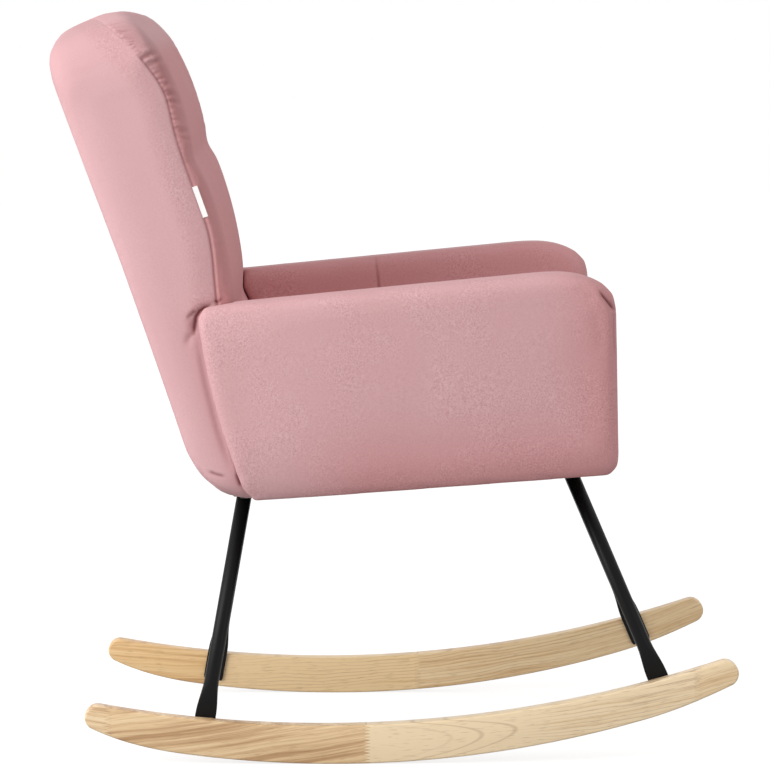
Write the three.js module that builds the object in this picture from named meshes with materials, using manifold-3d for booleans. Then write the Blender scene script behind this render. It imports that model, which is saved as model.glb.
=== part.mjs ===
// Rocking armchair: a padded armchair on steel legs that stand on two curved wooden rockers.
// Lengths are millimetres. The front faces -Y, the sitter's left is +X and up is +Z.
import * as THREE from "three";
import { mergeVertices } from "three/addons/utils/BufferGeometryUtils.js";
import Module from "manifold-3d";

const wasm = await Module();
wasm.setup();
const { degToRad, lerp, clamp, smoothstep } = THREE.MathUtils;

// Clearances
const restGap = 0.3; // between pieces that rest on each other
const boltGap = 0.3; // round a bolt in its hole
const cutOverrun = 6; // how far a cutter runs past what it cuts
const heelGap = 4; // over the shell's floor, where its padding settles

// Rockers: Y is measured from the point where the chair stands on them
const rockerSpacing = 500;
const rockerThickness = 24;
const rockerHeight = 50.4;
const rockerFloorRadius = 1428;
const rockerTopRadius = 1625;
const rockerTopShift = 13;
const rockerFrontReach = 521;
const rockerBackReach = 323;
const frontNoseRadius = 17;
const backNoseRadius = 16;
const frontSweep = 112; // the stretch before each tip where the underside leaves its arc
const backSweep = 125;
const rockerEdge = 2.5;
const rockerFacet = 30;

// Legs: steel tube, pressed flat and wider at the foot
const legDiameter = 19;
const legWall = 1.5;
const frontFootReach = 418;
const rearFootReach = 168.5;
const frontLegRake = degToRad(23.2);
const rearLegRake = degToRad(10.1);
const footWidth = 27;
const footThickness = 4;
const footOverlap = 38;
const footCorner = 4;
const footFlare = 44;

// Leg plates, and the bolts and inserts that hold the legs
const plateWidth = 44;
const plateLength = 56;
const plateThickness = 3.5;
const plateCorner = 8;
const plateShift = 14; // from the leg to the plate's middle, towards the middle of the chair
const plateBoltReach = 14;
const plateBoltSpread = 32;
const plateBoltDiameter = 6;
const plateBoltLength = 24;
const footBoltDiameter = 6;
const footBoltLength = 17;
const footBoltEdge = 9;
const footBoltPitch = 19;
const boltHeadDiameter = 10.5;
const boltHeadHeight = 3.5;
const insertWall = 1.7;
const insertLength = 14;

// Seat deck: the frame and its upholstery, tilted up to the front
const seatTilt = degToRad(4.2);
const undersideHeight = 357.4;
const seatWidth = 490; // between the arms
const seatFront = 345;
const railLift = 2;
const railHeight = 38;
const sideRailWidth = 45;
const crossRailThickness = 22;
const rearRailSetback = 60; // behind the chair's standing point
const coverThickness = 1;
const springCount = 4;
const springWire = 3.6;
const springSwing = 44;
const springStepsPerWave = 6;
const springPitch = 52;
const seatPadThickness = 50;
const seatPadCrown = 14;
const seatPadEdge = 26;
const seatPadCorner = 34;
const seatPadDrawIn = 4;
const seatPadRear = 120;
const frontPadThickness = 14;
const frontPadCorner = 8;
const frontPadCrown = 3;

// Arms: full-height padded side panels
const armWidth = 92;
const armFront = 361;
const armFrontRake = 6; // how far the front leans back at the top
const armCrest = 639;
const armTopSlope = degToRad(5.5);
const armNoseRun = 90;
const armNoseDrop = 50;
const armFrontCorner = 18;
const armRearTop = 176;
const armRearBottom = 112;
const armRearCorner = 22;
const armEdge = 24;
const armOuterCrown = 5;
const armInnerCrown = 3;
const armBoardThickness = 18;
const armBoardMargin = 36;
const armBoardRear = 40;

// Back: leaning shell with a channelled cushion in front
const backLean = degToRad(19.5);
const backRear = 169; // where the rear face meets the underside
const backHeight = 626;
const backOverhang = 55; // how far the back reaches past the seat on each side
const backTopTaper = 14; // how much narrower each side is at the top
const backTopCorner = 84;
const backTopCrown = 12;
const backBottomCorner = 30;
const shellWall = 18;
const shellRearEdge = 25;
const shellBottomEdge = 56;
const shellRearHollow = 4; // how far the rear face is drawn in at mid height
const shellSill = 38; // from the rear face to the opening in the shell's floor
const shellFloorRise = 20; // how far the shell's floor climbs inside to the rear wall
const seamRoll = 3.5;
const seamDepth = 125; // from the rear face to the side seam
const seamLowerDrop = 25;
const seamTopDrop = 73;
const seamTopStart = 497;
const seamBendTop = 337;
const seamBendBottom = 197;
const cushionDepth = 140; // from the rear face to the cushion's front
const cushionLowerDrop = 40;
const cushionBendTop = 377;
const cushionBendBottom = 47;
const cushionBottom = 56;
const cushionSideRound = 34;
const cushionTopRound = 134;
const cushionTopBand = 26;
const cushionCrown = 6;
const cushionTopBulge = 5;
const channelSpacing = 210;
const channelDepth = 8;
const channelWidth = 14;
const plugMargin = 30;
const stileThickness = 18;
const stileDepth = 67;
const stileTopMargin = 122;
const topRailHeight = 50;
const labelWidth = 7;
const labelLength = 42;
const labelThickness = 1;
const labelTop = 382;

// Shape of the steps that round and crown a padded form
const roundShares = [0, 1 / 3, 2 / 3, 1];
const ellipseHandleShare = 0.5523;

const chair = new THREE.Group();
const deck = new THREE.Group();
deck.position.set(0, 0, undersideHeight);
deck.rotation.x = -seatTilt;
deck.updateMatrix();
chair.add(deck);

// Finishes
const finishes = {
  velvet: new THREE.MeshStandardMaterial({ color: 0xd8a6ab, roughness: 0.85, metalness: 0 }),
  wood: new THREE.MeshStandardMaterial({ color: 0xe3c399, roughness: 0.5, metalness: 0 }),
  board: new THREE.MeshStandardMaterial({ color: 0xc9a878, roughness: 0.8, metalness: 0 }),
  paint: new THREE.MeshStandardMaterial({ color: 0x1c1c1e, roughness: 0.45, metalness: 0.1 }),
  zinc: new THREE.MeshStandardMaterial({ color: 0xb9bcc0, roughness: 0.35, metalness: 0.9 }),
  lining: new THREE.MeshStandardMaterial({ color: 0x242426, roughness: 0.95, metalness: 0 }),
  label: new THREE.MeshStandardMaterial({ color: 0xf4f2f0, roughness: 0.7, metalness: 0 }),
};

function addPiece(parent, name, geometry, finish) {
  const mesh = new THREE.Mesh(geometry, finishes[finish].clone());
  mesh.name = name;
  parent.add(mesh);
  return mesh;
}

// Closed meshes and cuts

// Drops the triangles that a merge has flattened.
function tidyMesh(positions, triangles) {
  const loose = new THREE.BufferGeometry();
  loose.setAttribute("position", new THREE.Float32BufferAttribute(positions, 3));
  loose.setIndex(triangles);
  const merged = mergeVertices(loose, 1e-3);
  const index = merged.index.array;
  const kept = [];
  for (let i = 0; i < index.length; i += 3) {
    const [a, b, c] = index.slice(i, i + 3);
    if (a !== b && b !== c && c !== a) kept.push(a, b, c);
  }
  merged.setIndex(kept);
  return merged;
}

function toSolid(geometry) {
  const bare = geometry.index ? geometry.toNonIndexed() : geometry;
  const positions = Array.from(bare.getAttribute("position").array);
  const clean = tidyMesh(positions, [...Array(positions.length / 3).keys()]);
  const mesh = new wasm.Mesh({
    numProp: 3,
    vertProperties: clean.getAttribute("position").array,
    triVerts: new Uint32Array(clean.index.array),
  });
  return new wasm.Manifold(mesh);
}

function cut(geometry, ...cutters) {
  const left = cutters.reduce((body, cutter) => body.subtract(toSolid(cutter)), toSolid(geometry));
  const { numProp, vertProperties, triVerts } = left.getMesh();
  const positions = [];
  for (let i = 0; i < vertProperties.length; i += numProp) {
    positions.push(...vertProperties.slice(i, i + 3));
  }
  return tidyMesh(positions, [...triVerts]);
}

// The same shape on the other side of the chair, with its faces still outwards.
function mirrored(geometry) {
  const copy = geometry.index ? geometry.toNonIndexed() : geometry.clone();
  const position = copy.getAttribute("position").clone();
  const corner = new THREE.Vector3();
  const triangle = [];
  for (let i = 0; i < position.count; i += 3) {
    for (let k = 0; k < 3; k += 1) {
      triangle[k] = corner.fromBufferAttribute(position, i + k).toArray();
    }
    triangle.reverse().forEach(([x, y, z], k) => position.setXYZ(i + k, -x, y, z));
  }
  return new THREE.BufferGeometry().setAttribute("position", position);
}

function sided(geometry, side) {
  return side > 0 ? geometry : mirrored(geometry);
}

const sides = [["left", 1], ["right", -1]];

// A profile drawn in Y and Z, extruded along X from the given place.
const sideways = new THREE.Matrix4().makeBasis(
  new THREE.Vector3(0, 1, 0),
  new THREE.Vector3(0, 0, 1),
  new THREE.Vector3(1, 0, 0),
);

function extrudeSideways(points, from, width, edge = 0) {
  const options = { depth: width - 2 * edge, bevelEnabled: edge > 0, bevelSegments: 2 };
  Object.assign(options, { bevelSize: edge, bevelThickness: edge, bevelOffset: -edge });
  const geometry = new THREE.ExtrudeGeometry(new THREE.Shape(points), options);
  return geometry.translate(0, 0, from + edge).applyMatrix4(sideways);
}

// A round cutter along +X, drawn so that its flats clear the radius.
const boreSides = 12;

function boreAlongX(radius, from, length, y, z) {
  const clear = radius / Math.cos(Math.PI / boreSides);
  const bore = new THREE.CylinderGeometry(clear, clear, length, boreSides);
  return bore.rotateZ(Math.PI / 2).translate(from + length / 2, y, z);
}

// Rockers

function arcHeight(centreZ, radius, offset) {
  return centreZ - Math.sqrt(radius ** 2 - offset ** 2);
}

const topArcCentre = new THREE.Vector2(rockerTopShift, rockerHeight + rockerTopRadius);

function rockerTop(y) {
  return arcHeight(topArcCentre.y, rockerTopRadius, y - topArcCentre.x);
}

// The rounded tip under the top arc, and the angles where the arc and the sweep leave it.
function rockerNose(side, reach, radius) {
  const y = side * (reach - radius);
  const z = arcHeight(topArcCentre.y, rockerTopRadius + radius, y - topArcCentre.x);
  const sweepLean = degToRad(26);
  return {
    centre: new THREE.Vector2(y, z),
    radius,
    topAngle: Math.atan2(topArcCentre.y - z, topArcCentre.x - y),
    sweepAngle: side > 0 ? sweepLean - Math.PI / 2 : (3 * Math.PI) / 2 - sweepLean,
  };
}

function nosePoint(nose, angle) {
  const out = new THREE.Vector2(Math.cos(angle), Math.sin(angle));
  return out.multiplyScalar(nose.radius).add(nose.centre);
}

// From the floor arc's last facet to the nose, leaving both along their tangents.
function sweepPoints(start, startAngle, end, endAngle, side) {
  const handle = start.distanceTo(end) / 3;
  const alongStart = new THREE.Vector2(Math.cos(startAngle), Math.sin(startAngle));
  const alongEnd = new THREE.Vector2(-Math.sin(endAngle), Math.cos(endAngle));
  return new THREE.CubicBezierCurve(
    start,
    start.clone().addScaledVector(alongStart, side * handle),
    end.clone().addScaledVector(alongEnd, -side * handle),
    end,
  ).getPoints(6);
}

function rockerOutline() {
  const turn = rockerFacet / rockerFloorRadius;
  const facetsTo = (reach) => Math.floor(reach / rockerFacet - 0.5);
  const back = facetsTo(rockerBackReach - backSweep);
  const front = facetsTo(rockerFrontReach - frontSweep);
  const floor = [];
  for (let k = -front - 1; k <= back; k += 1) {
    const angle = (k + 0.5) * turn;
    floor.push(new THREE.Vector2(Math.sin(angle), 1 - Math.cos(angle)).multiplyScalar(rockerFloorRadius));
  }
  const backNose = rockerNose(1, rockerBackReach, backNoseRadius);
  const frontNose = rockerNose(-1, rockerFrontReach, frontNoseRadius);
  const backAngle = (back + 0.5) * turn;
  const frontAngle = -(front + 0.5) * turn;
  const backEnd = nosePoint(backNose, backNose.sweepAngle);
  const frontEnd = nosePoint(frontNose, frontNose.sweepAngle);
  const noseArc = ({ centre, radius }, from, to) =>
    new THREE.EllipseCurve(centre.x, centre.y, radius, radius, from, to).getPoints(7);
  const { x: topY, y: topZ } = topArcCentre;
  const topArc = new THREE.EllipseCurve(
    topY,
    topZ,
    rockerTopRadius,
    rockerTopRadius,
    backNose.topAngle + Math.PI,
    frontNose.topAngle + Math.PI,
    true,
  ).getPoints(22);
  const frontRise = sweepPoints(floor[0], frontAngle, frontEnd, frontNose.sweepAngle, -1);
  return [
    ...floor,
    ...sweepPoints(floor.at(-1), backAngle, backEnd, backNose.sweepAngle, 1).slice(1),
    ...noseArc(backNose, backNose.sweepAngle, backNose.topAngle).slice(1),
    ...topArc.slice(1),
    ...noseArc(frontNose, frontNose.topAngle, frontNose.sweepAngle).slice(1),
    ...frontRise.reverse().slice(1, -1),
  ];
}

// Legs

const legs = [
  { name: "front", footY: -frontFootReach, lean: frontLegRake, inward: 1 },
  { name: "rear", footY: rearFootReach, lean: -rearLegRake, inward: -1 },
];
const rockerInner = rockerSpacing / 2 - rockerThickness / 2;
const footX = rockerInner - restGap - footThickness / 2;
const railOuter = seatWidth / 2 - frontPadThickness / 7;
const railX = railOuter - sideRailWidth / 2;
const plateTop = railLift - restGap;
const plateUnder = plateTop - plateThickness;

for (const leg of legs) {
  leg.foot = new THREE.Vector3(footX, leg.footY, rockerTop(leg.footY));
  leg.up = new THREE.Vector3(0, Math.sin(leg.lean), Math.cos(leg.lean));
  leg.wide = new THREE.Vector3(0, Math.cos(leg.lean), -Math.sin(leg.lean));
}

// Height of a world point over the plane of the deck's underside.
const deckUp = new THREE.Vector3(0, Math.sin(seatTilt), Math.cos(seatTilt));

function overDeck(point) {
  return point.dot(deckUp) - undersideHeight * deckUp.z;
}

for (const leg of legs) {
  leg.height = (plateUnder - restGap - overDeck(leg.foot)) / leg.up.dot(deckUp);
  const top = leg.foot.clone().addScaledVector(leg.up, leg.height);
  top.x = railX;
  leg.top = top;
  leg.rise = top.clone().sub(leg.foot).divideScalar(leg.height);
  leg.plateY = top.clone().applyMatrix4(deck.matrix.clone().invert()).y + leg.inward * plateShift;
}

const legSides = 16;

// One section of a leg: round in the tube, and a flat rounded strip at the foot.
function legSection(leg, distance, flatness, shrink = 0) {
  const halfWidth = lerp(legDiameter, footWidth, flatness) / 2 - shrink;
  const halfThickness = lerp(legDiameter, footThickness, flatness) / 2 - shrink;
  const power = 2 / lerp(2, 9, flatness);
  const centre = leg.foot.clone();
  centre.addScaledVector(distance > 0 ? leg.rise : leg.up, distance);
  const ring = [];
  for (let i = 0; i < legSides; i += 1) {
    const angle = (2 * Math.PI * i) / legSides;
    const across = Math.sign(Math.sin(angle)) * Math.abs(Math.sin(angle)) ** power;
    const through = Math.sign(Math.cos(angle)) * Math.abs(Math.cos(angle)) ** power;
    const point = centre.clone().addScaledVector(leg.wide, halfWidth * across);
    point.x += halfThickness * through;
    ring.push(point);
  }
  return ring;
}

// Slides a section's points along the leg until they lie in a plane parallel to the deck.
function mitre(leg, ring, height) {
  for (const point of ring) {
    point.addScaledVector(leg.rise, (height - overDeck(point)) / leg.rise.dot(deckUp));
  }
  return ring;
}

// Closed skin over a stack of sections.
function loft(sections) {
  const count = sections[0].length;
  const positions = sections.flat().flatMap((point) => point.toArray());
  const triangles = [];
  const last = (sections.length - 1) * count;
  for (let k = 0; k < last; k += count) {
    for (let i = 0; i < count; i += 1) {
      const j = (i + 1) % count;
      triangles.push(k + i, k + j, k + count + j, k + i, k + count + j, k + count + i);
    }
  }
  for (let i = 1; i < count - 1; i += 1) {
    triangles.push(0, i + 1, i, last, last + i, last + i + 1);
  }
  return tidyMesh(positions, triangles);
}

function legGeometry(leg) {
  const flareStart = footThickness;
  const flat = [-footOverlap, -footOverlap + footCorner, 0, flareStart];
  const sections = flat.map((distance, i) => legSection(leg, distance, 1, i ? 0 : footThickness / 3));
  for (const share of [0.2, 0.4, 0.6, 0.8, 1]) {
    const flatness = 1 - smoothstep(share, 0, 1);
    sections.push(legSection(leg, flareStart + footFlare * share, flatness));
  }
  const topRing = (shrink) => legSection(leg, leg.height, 0, shrink);
  sections.push(mitre(leg, topRing(0), plateUnder - restGap));
  const hollow = [
    legSection(leg, flareStart + footFlare, 0, legWall),
    mitre(leg, topRing(legWall), plateUnder + cutOverrun),
  ];
  const holes = footBoltPlaces(leg).map(({ y, z }) =>
    boreAlongX(footBoltDiameter / 2 + boltGap, footX - legDiameter / 2, legDiameter, y, z),
  );
  return cut(loft(sections), loft(hollow), ...holes);
}

function footBoltPlaces(leg) {
  const lower = -footOverlap + footBoltEdge;
  const places = [lower, lower + footBoltPitch];
  return places.map((distance) => leg.foot.clone().addScaledVector(leg.up, distance));
}

// A bolt along +Y from the underside of its head, and a threaded sleeve along +Y.
const fastenerSides = 8;

function boltGeometry(diameter, length) {
  const chamfer = boltHeadHeight / 3;
  const profile = [
    [0, -boltHeadHeight],
    [boltHeadDiameter / 2 - chamfer, -boltHeadHeight],
    [boltHeadDiameter / 2, -boltHeadHeight + chamfer],
    [boltHeadDiameter / 2, 0],
    [diameter / 2, 0],
    [diameter / 2, length],
    [0, length],
  ];
  return new THREE.LatheGeometry(profile.map(([x, y]) => new THREE.Vector2(x, y)), fastenerSides);
}

function insertGeometry() {
  const inner = (footBoltDiameter / 2 + boltGap) / Math.cos(Math.PI / fastenerSides);
  const outer = inner + insertWall;
  const profile = [[inner, 0], [outer, 0], [outer, insertLength], [inner, insertLength], [inner, 0]];
  return new THREE.LatheGeometry(profile.map(([x, y]) => new THREE.Vector2(x, y)), fastenerSides);
}

const insertRadius = (footBoltDiameter / 2 + boltGap) / Math.cos(Math.PI / fastenerSides) + insertWall;

for (const [word, side] of sides) {
  const insertBores = legs.flatMap(footBoltPlaces).map(({ y, z }) => {
    const depth = insertLength + 2 * restGap + cutOverrun;
    return boreAlongX(insertRadius + restGap, rockerInner - cutOverrun, depth, y, z);
  });
  const blank = extrudeSideways(rockerOutline(), rockerInner, rockerThickness, rockerEdge);
  addPiece(chair, `rocker_${word}`, sided(cut(blank, ...insertBores), side), "wood");
  for (const leg of legs) {
    addPiece(chair, `leg_${leg.name}_${word}`, sided(legGeometry(leg), side), "paint");
    footBoltPlaces(leg).forEach(({ y, z }, k) => {
      const place = `${leg.name}_${word}_${["lower", "upper"][k]}`;
      const shape = boltGeometry(footBoltDiameter, footBoltLength);
      const bolt = addPiece(chair, `foot_bolt_${place}`, shape, "zinc");
      bolt.rotation.z = (-side * Math.PI) / 2;
      bolt.position.set(side * (footX - footThickness / 2 - restGap), y, z);
      const insert = addPiece(chair, `insert_${place}`, insertGeometry(), "zinc");
      insert.rotation.z = (-side * Math.PI) / 2;
      insert.position.set(side * (rockerInner + restGap), y, z);
    });
  }
}

// Leg plates and their bolts, in the deck's frame

function roundedRectangle(width, length, corner) {
  const shape = new THREE.Shape();
  const [x, y] = [width / 2 - corner, length / 2 - corner];
  shape.absarc(x, y, corner, 0, Math.PI / 2);
  shape.absarc(-x, y, corner, Math.PI / 2, Math.PI);
  shape.absarc(-x, -y, corner, Math.PI, (3 * Math.PI) / 2);
  shape.absarc(x, -y, corner, (3 * Math.PI) / 2, 2 * Math.PI);
  return shape;
}

function plateBoltPlaces(leg) {
  const spread = plateBoltSpread / 2;
  const inward = leg.inward * plateBoltReach;
  return [[0, inward], [spread, -inward], [-spread, -inward]];
}

function plateGeometry(leg) {
  const shape = roundedRectangle(plateWidth, plateLength, plateCorner);
  const holeRadius = (plateBoltDiameter / 2 + boltGap) / Math.cos(Math.PI / fastenerSides);
  for (const [x, y] of plateBoltPlaces(leg)) {
    const hole = new THREE.Path();
    hole.absarc(x, y, holeRadius, 0, 2 * Math.PI);
    shape.holes.push(hole);
  }
  const options = { depth: plateThickness, bevelEnabled: false, curveSegments: 4 };
  return new THREE.ExtrudeGeometry(shape, options);
}

for (const [word, side] of sides) {
  for (const leg of legs) {
    const plate = addPiece(deck, `leg_plate_${leg.name}_${word}`, plateGeometry(leg), "paint");
    plate.position.set(side * railX, leg.plateY, plateUnder);
    plateBoltPlaces(leg).forEach(([x, y], k) => {
      const name = `plate_bolt_${leg.name}_${word}_${k + 1}`;
      const bolt = addPiece(deck, name, boltGeometry(plateBoltDiameter, plateBoltLength), "zinc");
      bolt.rotation.x = Math.PI / 2;
      bolt.position.set(side * railX + x, leg.plateY + y, plateUnder - restGap);
    });
  }
}

// Padded forms

// Outward normals of a closed outline that runs anticlockwise.
function outlineNormals(outline) {
  return outline.map((point, i) => {
    const before = outline.at(i - 1);
    const after = outline[(i + 1) % outline.length];
    const along = after.clone().sub(before).normalize();
    return new THREE.Vector2(along.y, -along.x);
  });
}

// Points inside a ring of four sides: along its bottom, up its right, back along its top, down its left.
function gridPoint(ring, across, row, column) {
  const up = ring.length / 2 - across;
  const [u, v] = [column / across, row / up];
  const line = ring[ring.length - row].clone().lerp(ring[across + row], u);
  const bow = (point, from, to, share) => {
    const straight = from.clone().lerp(to, u);
    line.add(point.clone().sub(straight).multiplyScalar(share));
  };
  bow(ring[column], ring[0], ring[across], 1 - v);
  bow(ring[2 * across + up - column], ring[2 * across + up], ring[across + up], v);
  return line;
}

// Skin over rings of one outline, from one face round to the other. Each ring moves the outline within
// its plane and lifts it off the plane. A grid closes each end.
function pillow({ outline, across, rings, place }) {
  const normals = outlineNormals(outline);
  const count = outline.length;
  const up = count / 2 - across;
  const triangles = [];
  const stay = (point) => point.clone();
  const flat = rings.map(({ at = stay }) => outline.map((point, i) => at(point, normals[i])));
  const placed = rings.flatMap(({ depth }, k) =>
    flat[k].map((point, i) => place(point, depth(point, outline[i], normals[i]))),
  );
  const addQuad = (a, b, c, d) => {
    const shorter = placed[a].distanceTo(placed[d]) < placed[b].distanceTo(placed[c]);
    triangles.push(...(shorter ? [a, b, d, a, d, c] : [a, b, c, b, d, c]));
  };
  for (let k = 0; k < rings.length - 1; k += 1) {
    for (let i = 0; i < count; i += 1) {
      const [a, b] = [k * count + i, k * count + ((i + 1) % count)];
      addQuad(a, b, a + count, b + count);
    }
  }
  for (const k of [0, rings.length - 1]) {
    const inner = placed.length;
    const index = (row, column) => {
      if (row === 0) return k * count + column;
      if (column === across) return k * count + across + row;
      if (row === up) return k * count + 2 * across + up - column;
      if (column === 0) return k * count + count - row;
      return inner + (row - 1) * (across - 1) + column - 1;
    };
    for (let row = 1; row < up; row += 1) {
      for (let column = 1; column < across; column += 1) {
        const point = gridPoint(flat[k], across, row, column);
        placed.push(place(point, rings[k].depth(point, point, normals[0])));
      }
    }
    for (let row = 0; row < up; row += 1) {
      for (let column = 0; column < across; column += 1) {
        const [from, to] = k ? [column, column + 1] : [column + 1, column];
        addQuad(index(row, from), index(row, to), index(row + 1, from), index(row + 1, to));
      }
    }
  }
  return tidyMesh(placed.flatMap((point) => point.toArray()), triangles);
}

function insetBy(distance) {
  return (point, normal) => point.clone().addScaledVector(normal, -distance);
}

// Rounds a form's edge between a face and its side.
function roundedRings(radius, face, direction, inset = radius) {
  return roundShares.map((share) => {
    const angle = (share * Math.PI) / 2;
    const drop = direction * radius * (1 - Math.cos(angle));
    return { at: insetBy(inset * (1 - Math.sin(angle))), depth: (point) => face(point) + drop };
  });
}

// One in the middle of an outline, falling to nothing at its edges.
function crownOver(outline) {
  const box = new THREE.Box2().setFromPoints(outline);
  const [centre, size] = [box.getCenter(new THREE.Vector2()), box.getSize(new THREE.Vector2())];
  return (point) => {
    const away = point.clone().sub(centre).divide(size).multiplyScalar(2);
    return Math.max(0, 1 - away.x ** 2) * Math.max(0, 1 - away.y ** 2);
  };
}

// Corner of an outline between two straight runs, as a quarter of an ellipse.
function cornerPoints(before, corner, after, runBefore, runAfter, steps) {
  const start = corner.clone().add(before.clone().sub(corner).setLength(runBefore));
  const end = corner.clone().add(after.clone().sub(corner).setLength(runAfter));
  return new THREE.CubicBezierCurve(
    start,
    start.clone().lerp(corner, ellipseHandleShare),
    end.clone().lerp(corner, ellipseHandleShare),
    end,
  ).getPoints(steps);
}

// Points from one place towards the next, without the next itself.
function stepsTo(from, to, steps) {
  return Array.from({ length: steps }, (_, k) => from.clone().lerp(to, k / steps));
}

// Outline of four rounded corners, anticlockwise from the lower left one.
function fourSided(corners, { across, rise, arc }) {
  const arcs = corners.map(({ at, before, after }, i) => {
    const [last, next] = [corners.at(i - 1).at, corners[(i + 1) % corners.length].at];
    return cornerPoints(last, at, next, before, after, arc);
  });
  return arcs.flatMap((points, i) => {
    const next = arcs[(i + 1) % arcs.length][0];
    const run = stepsTo(points.at(-1), next, i % 2 ? rise : across);
    return i ? [...points.slice(0, -1), ...run] : run;
  }).concat(arcs[0].slice(0, -1));
}

// Arms

function underside(y) {
  return undersideHeight - y * Math.tan(seatTilt);
}

function armTop(y) {
  return armCrest - (y + armFront - armFrontRake - armNoseRun) * Math.tan(armTopSlope);
}

const armInner = seatWidth / 2;
const armFrontTop = armFrontRake - armFront;
const armOuter = armInner + armWidth;

const armSteps = { across: 6, rise: 3, arc: 5 };

function armOutline() {
  const corner = (y, z, before, after) => ({ at: new THREE.Vector2(y, z), before, after });
  return fourSided(
    [
      corner(-armFront, underside(-armFront), armFrontCorner, armFrontCorner),
      corner(armRearBottom, underside(armRearBottom), armRearCorner, armRearCorner),
      corner(armRearTop, armTop(armRearTop), armRearCorner, armRearCorner),
      corner(armFrontTop, armTop(armFrontTop), armNoseRun, armNoseDrop),
    ],
    armSteps,
  );
}

function armPad() {
  const outline = armOutline();
  const crown = crownOver(outline);
  const inner = (point) => armInner + armInnerCrown * (1 - crown(point));
  const outer = (point) => armOuter - armOuterCrown * (1 - crown(point));
  const rings = [
    ...roundedRings(armEdge, inner, 1, armFrontCorner),
    ...roundedRings(armEdge, outer, -1, armFrontCorner).reverse(),
  ];
  const place = (point, depth) => new THREE.Vector3(depth, point.x, point.y);
  return pillow({ outline, across: armSteps.across, rings, place });
}

// The board inside an arm, drawn a margin inside the pad and open to its underside.
function armBoardOutline(grow, below) {
  const front = armBoardMargin - armFront - grow;
  const rear = armBoardRear + grow;
  const noseRear = armNoseRun + armFrontTop;
  const top = (y) => armTop(y) - armBoardMargin + grow;
  return [
    [front, underside(front) + restGap - below],
    [rear, underside(rear) + restGap - below],
    [rear, top(rear)],
    [noseRear, top(noseRear)],
    [front, top(front) - armNoseDrop / 2],
  ].map(([y, z]) => new THREE.Vector2(y, z));
}

const armBoardX = (armInner + armOuter) / 2 - armBoardThickness / 2;

// Back

const backFoot = new THREE.Vector2(backRear, underside(backRear));
const backShear = Math.tan(backLean - seatTilt);

// From the back's own frame: across, up along its lean, and forward from its rear face.
function placeOnBack(across, up, forward) {
  const y = backFoot.x + up * Math.sin(backLean) - forward * Math.cos(backLean);
  const z = backFoot.y + up * Math.cos(backLean) + forward * Math.sin(backLean);
  return new THREE.Vector3(across, y, z);
}

// The shell's lower end lies in the underside's plane: it is sheared, up to where the seam bends.
function placeOnShell(point, forward) {
  const drop = forward * backShear * Math.max(0, 1 - point.y / seamBendBottom);
  return placeOnBack(point.x, point.y - drop, forward);
}

const backWidth = seatWidth + 2 * backOverhang;

function backHalfWidth(up) {
  return backWidth / 2 - backTopTaper * (up / backHeight);
}

function seamForward(up) {
  const topShare = clamp((up - seamTopStart) / (backHeight - seamTopStart), 0, 1);
  const topDrop = seamTopDrop * (1 - Math.sqrt(1 - topShare ** 2));
  return seamDepth - seamLowerDrop * (1 - smoothstep(up, seamBendBottom, seamBendTop)) - topDrop;
}

const channels = [1, 2].map((k) => backHeight - k * channelSpacing);

function cushionFront(point) {
  const lower = cushionLowerDrop * (1 - smoothstep(point.y, cushionBendBottom, cushionBendTop));
  const bulge = cushionTopBulge * smoothstep(point.y, channels[0], channels[0] + channelSpacing / 2);
  const crown = cushionCrown * (1 - ((2 * point.x) / backWidth) ** 2);
  const dents = channels.map((at) => channelDepth * Math.exp(-(((point.y - at) / channelWidth) ** 2)));
  return cushionDepth - lower + bulge + crown - dents.reduce((sum, dent) => sum + dent, 0);
}

// Heights of the rows on the back's sides, closer together beside each channel.
function backRows(bottom) {
  const near = channels.flatMap((at) => [-1.6, -0.8, 0, 0.8, 1.6].map((k) => at + k * channelWidth));
  const top = backHeight - backTopCrown - backTopCorner;
  const rows = [...near, (bottom + channels[1]) / 2, (channels[0] + channels[1]) / 2];
  return rows.filter((up) => up > bottom && up < top).sort((a, b) => a - b);
}

const backAcross = 6;

// The back's outline seen from the front, anticlockwise from its lower left corner.
function backOutline(bottom, bottomCorner, grow = 0) {
  const top = backHeight + grow;
  const half = (up) => backHalfWidth(up) + grow;
  const lower = new THREE.Vector2(half(bottom), bottom - grow);
  const upper = new THREE.Vector2(half(top - backTopCrown), top - backTopCrown);
  const level = (point) => new THREE.Vector2(-point.x, point.y);
  const corner = cornerPoints(level(lower), lower, upper, bottomCorner, bottomCorner, 3);
  const shoulder = cornerPoints(lower, upper, level(upper), backTopCorner, backTopCorner, 6);
  const rows = backRows(bottom + bottomCorner).map((up) => new THREE.Vector2(half(up), up));
  const right = [...corner, ...rows, ...shoulder];
  const topRun = stepsTo(right.at(-1), level(right.at(-1)), backAcross).slice(1);
  for (const point of topRun) point.y += backTopCrown * (1 - (point.x / right.at(-1).x) ** 2);
  const left = right.map(level).reverse();
  return [...stepsTo(left.at(-1), right[0], backAcross), ...right, ...topRun, ...left.slice(0, -1)];
}

// Draws the back's outline in from its sides, top and bottom.
function drawnIn(side, top, bottom, start) {
  return (point) => {
    const low = 1 - smoothstep(point.y, start, start + 2 * bottom);
    const high = smoothstep(point.y, backHeight - 2 * top, backHeight);
    return new THREE.Vector2(point.x * (1 - (2 * side) / backWidth), point.y + bottom * low - top * high);
  };
}

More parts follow.
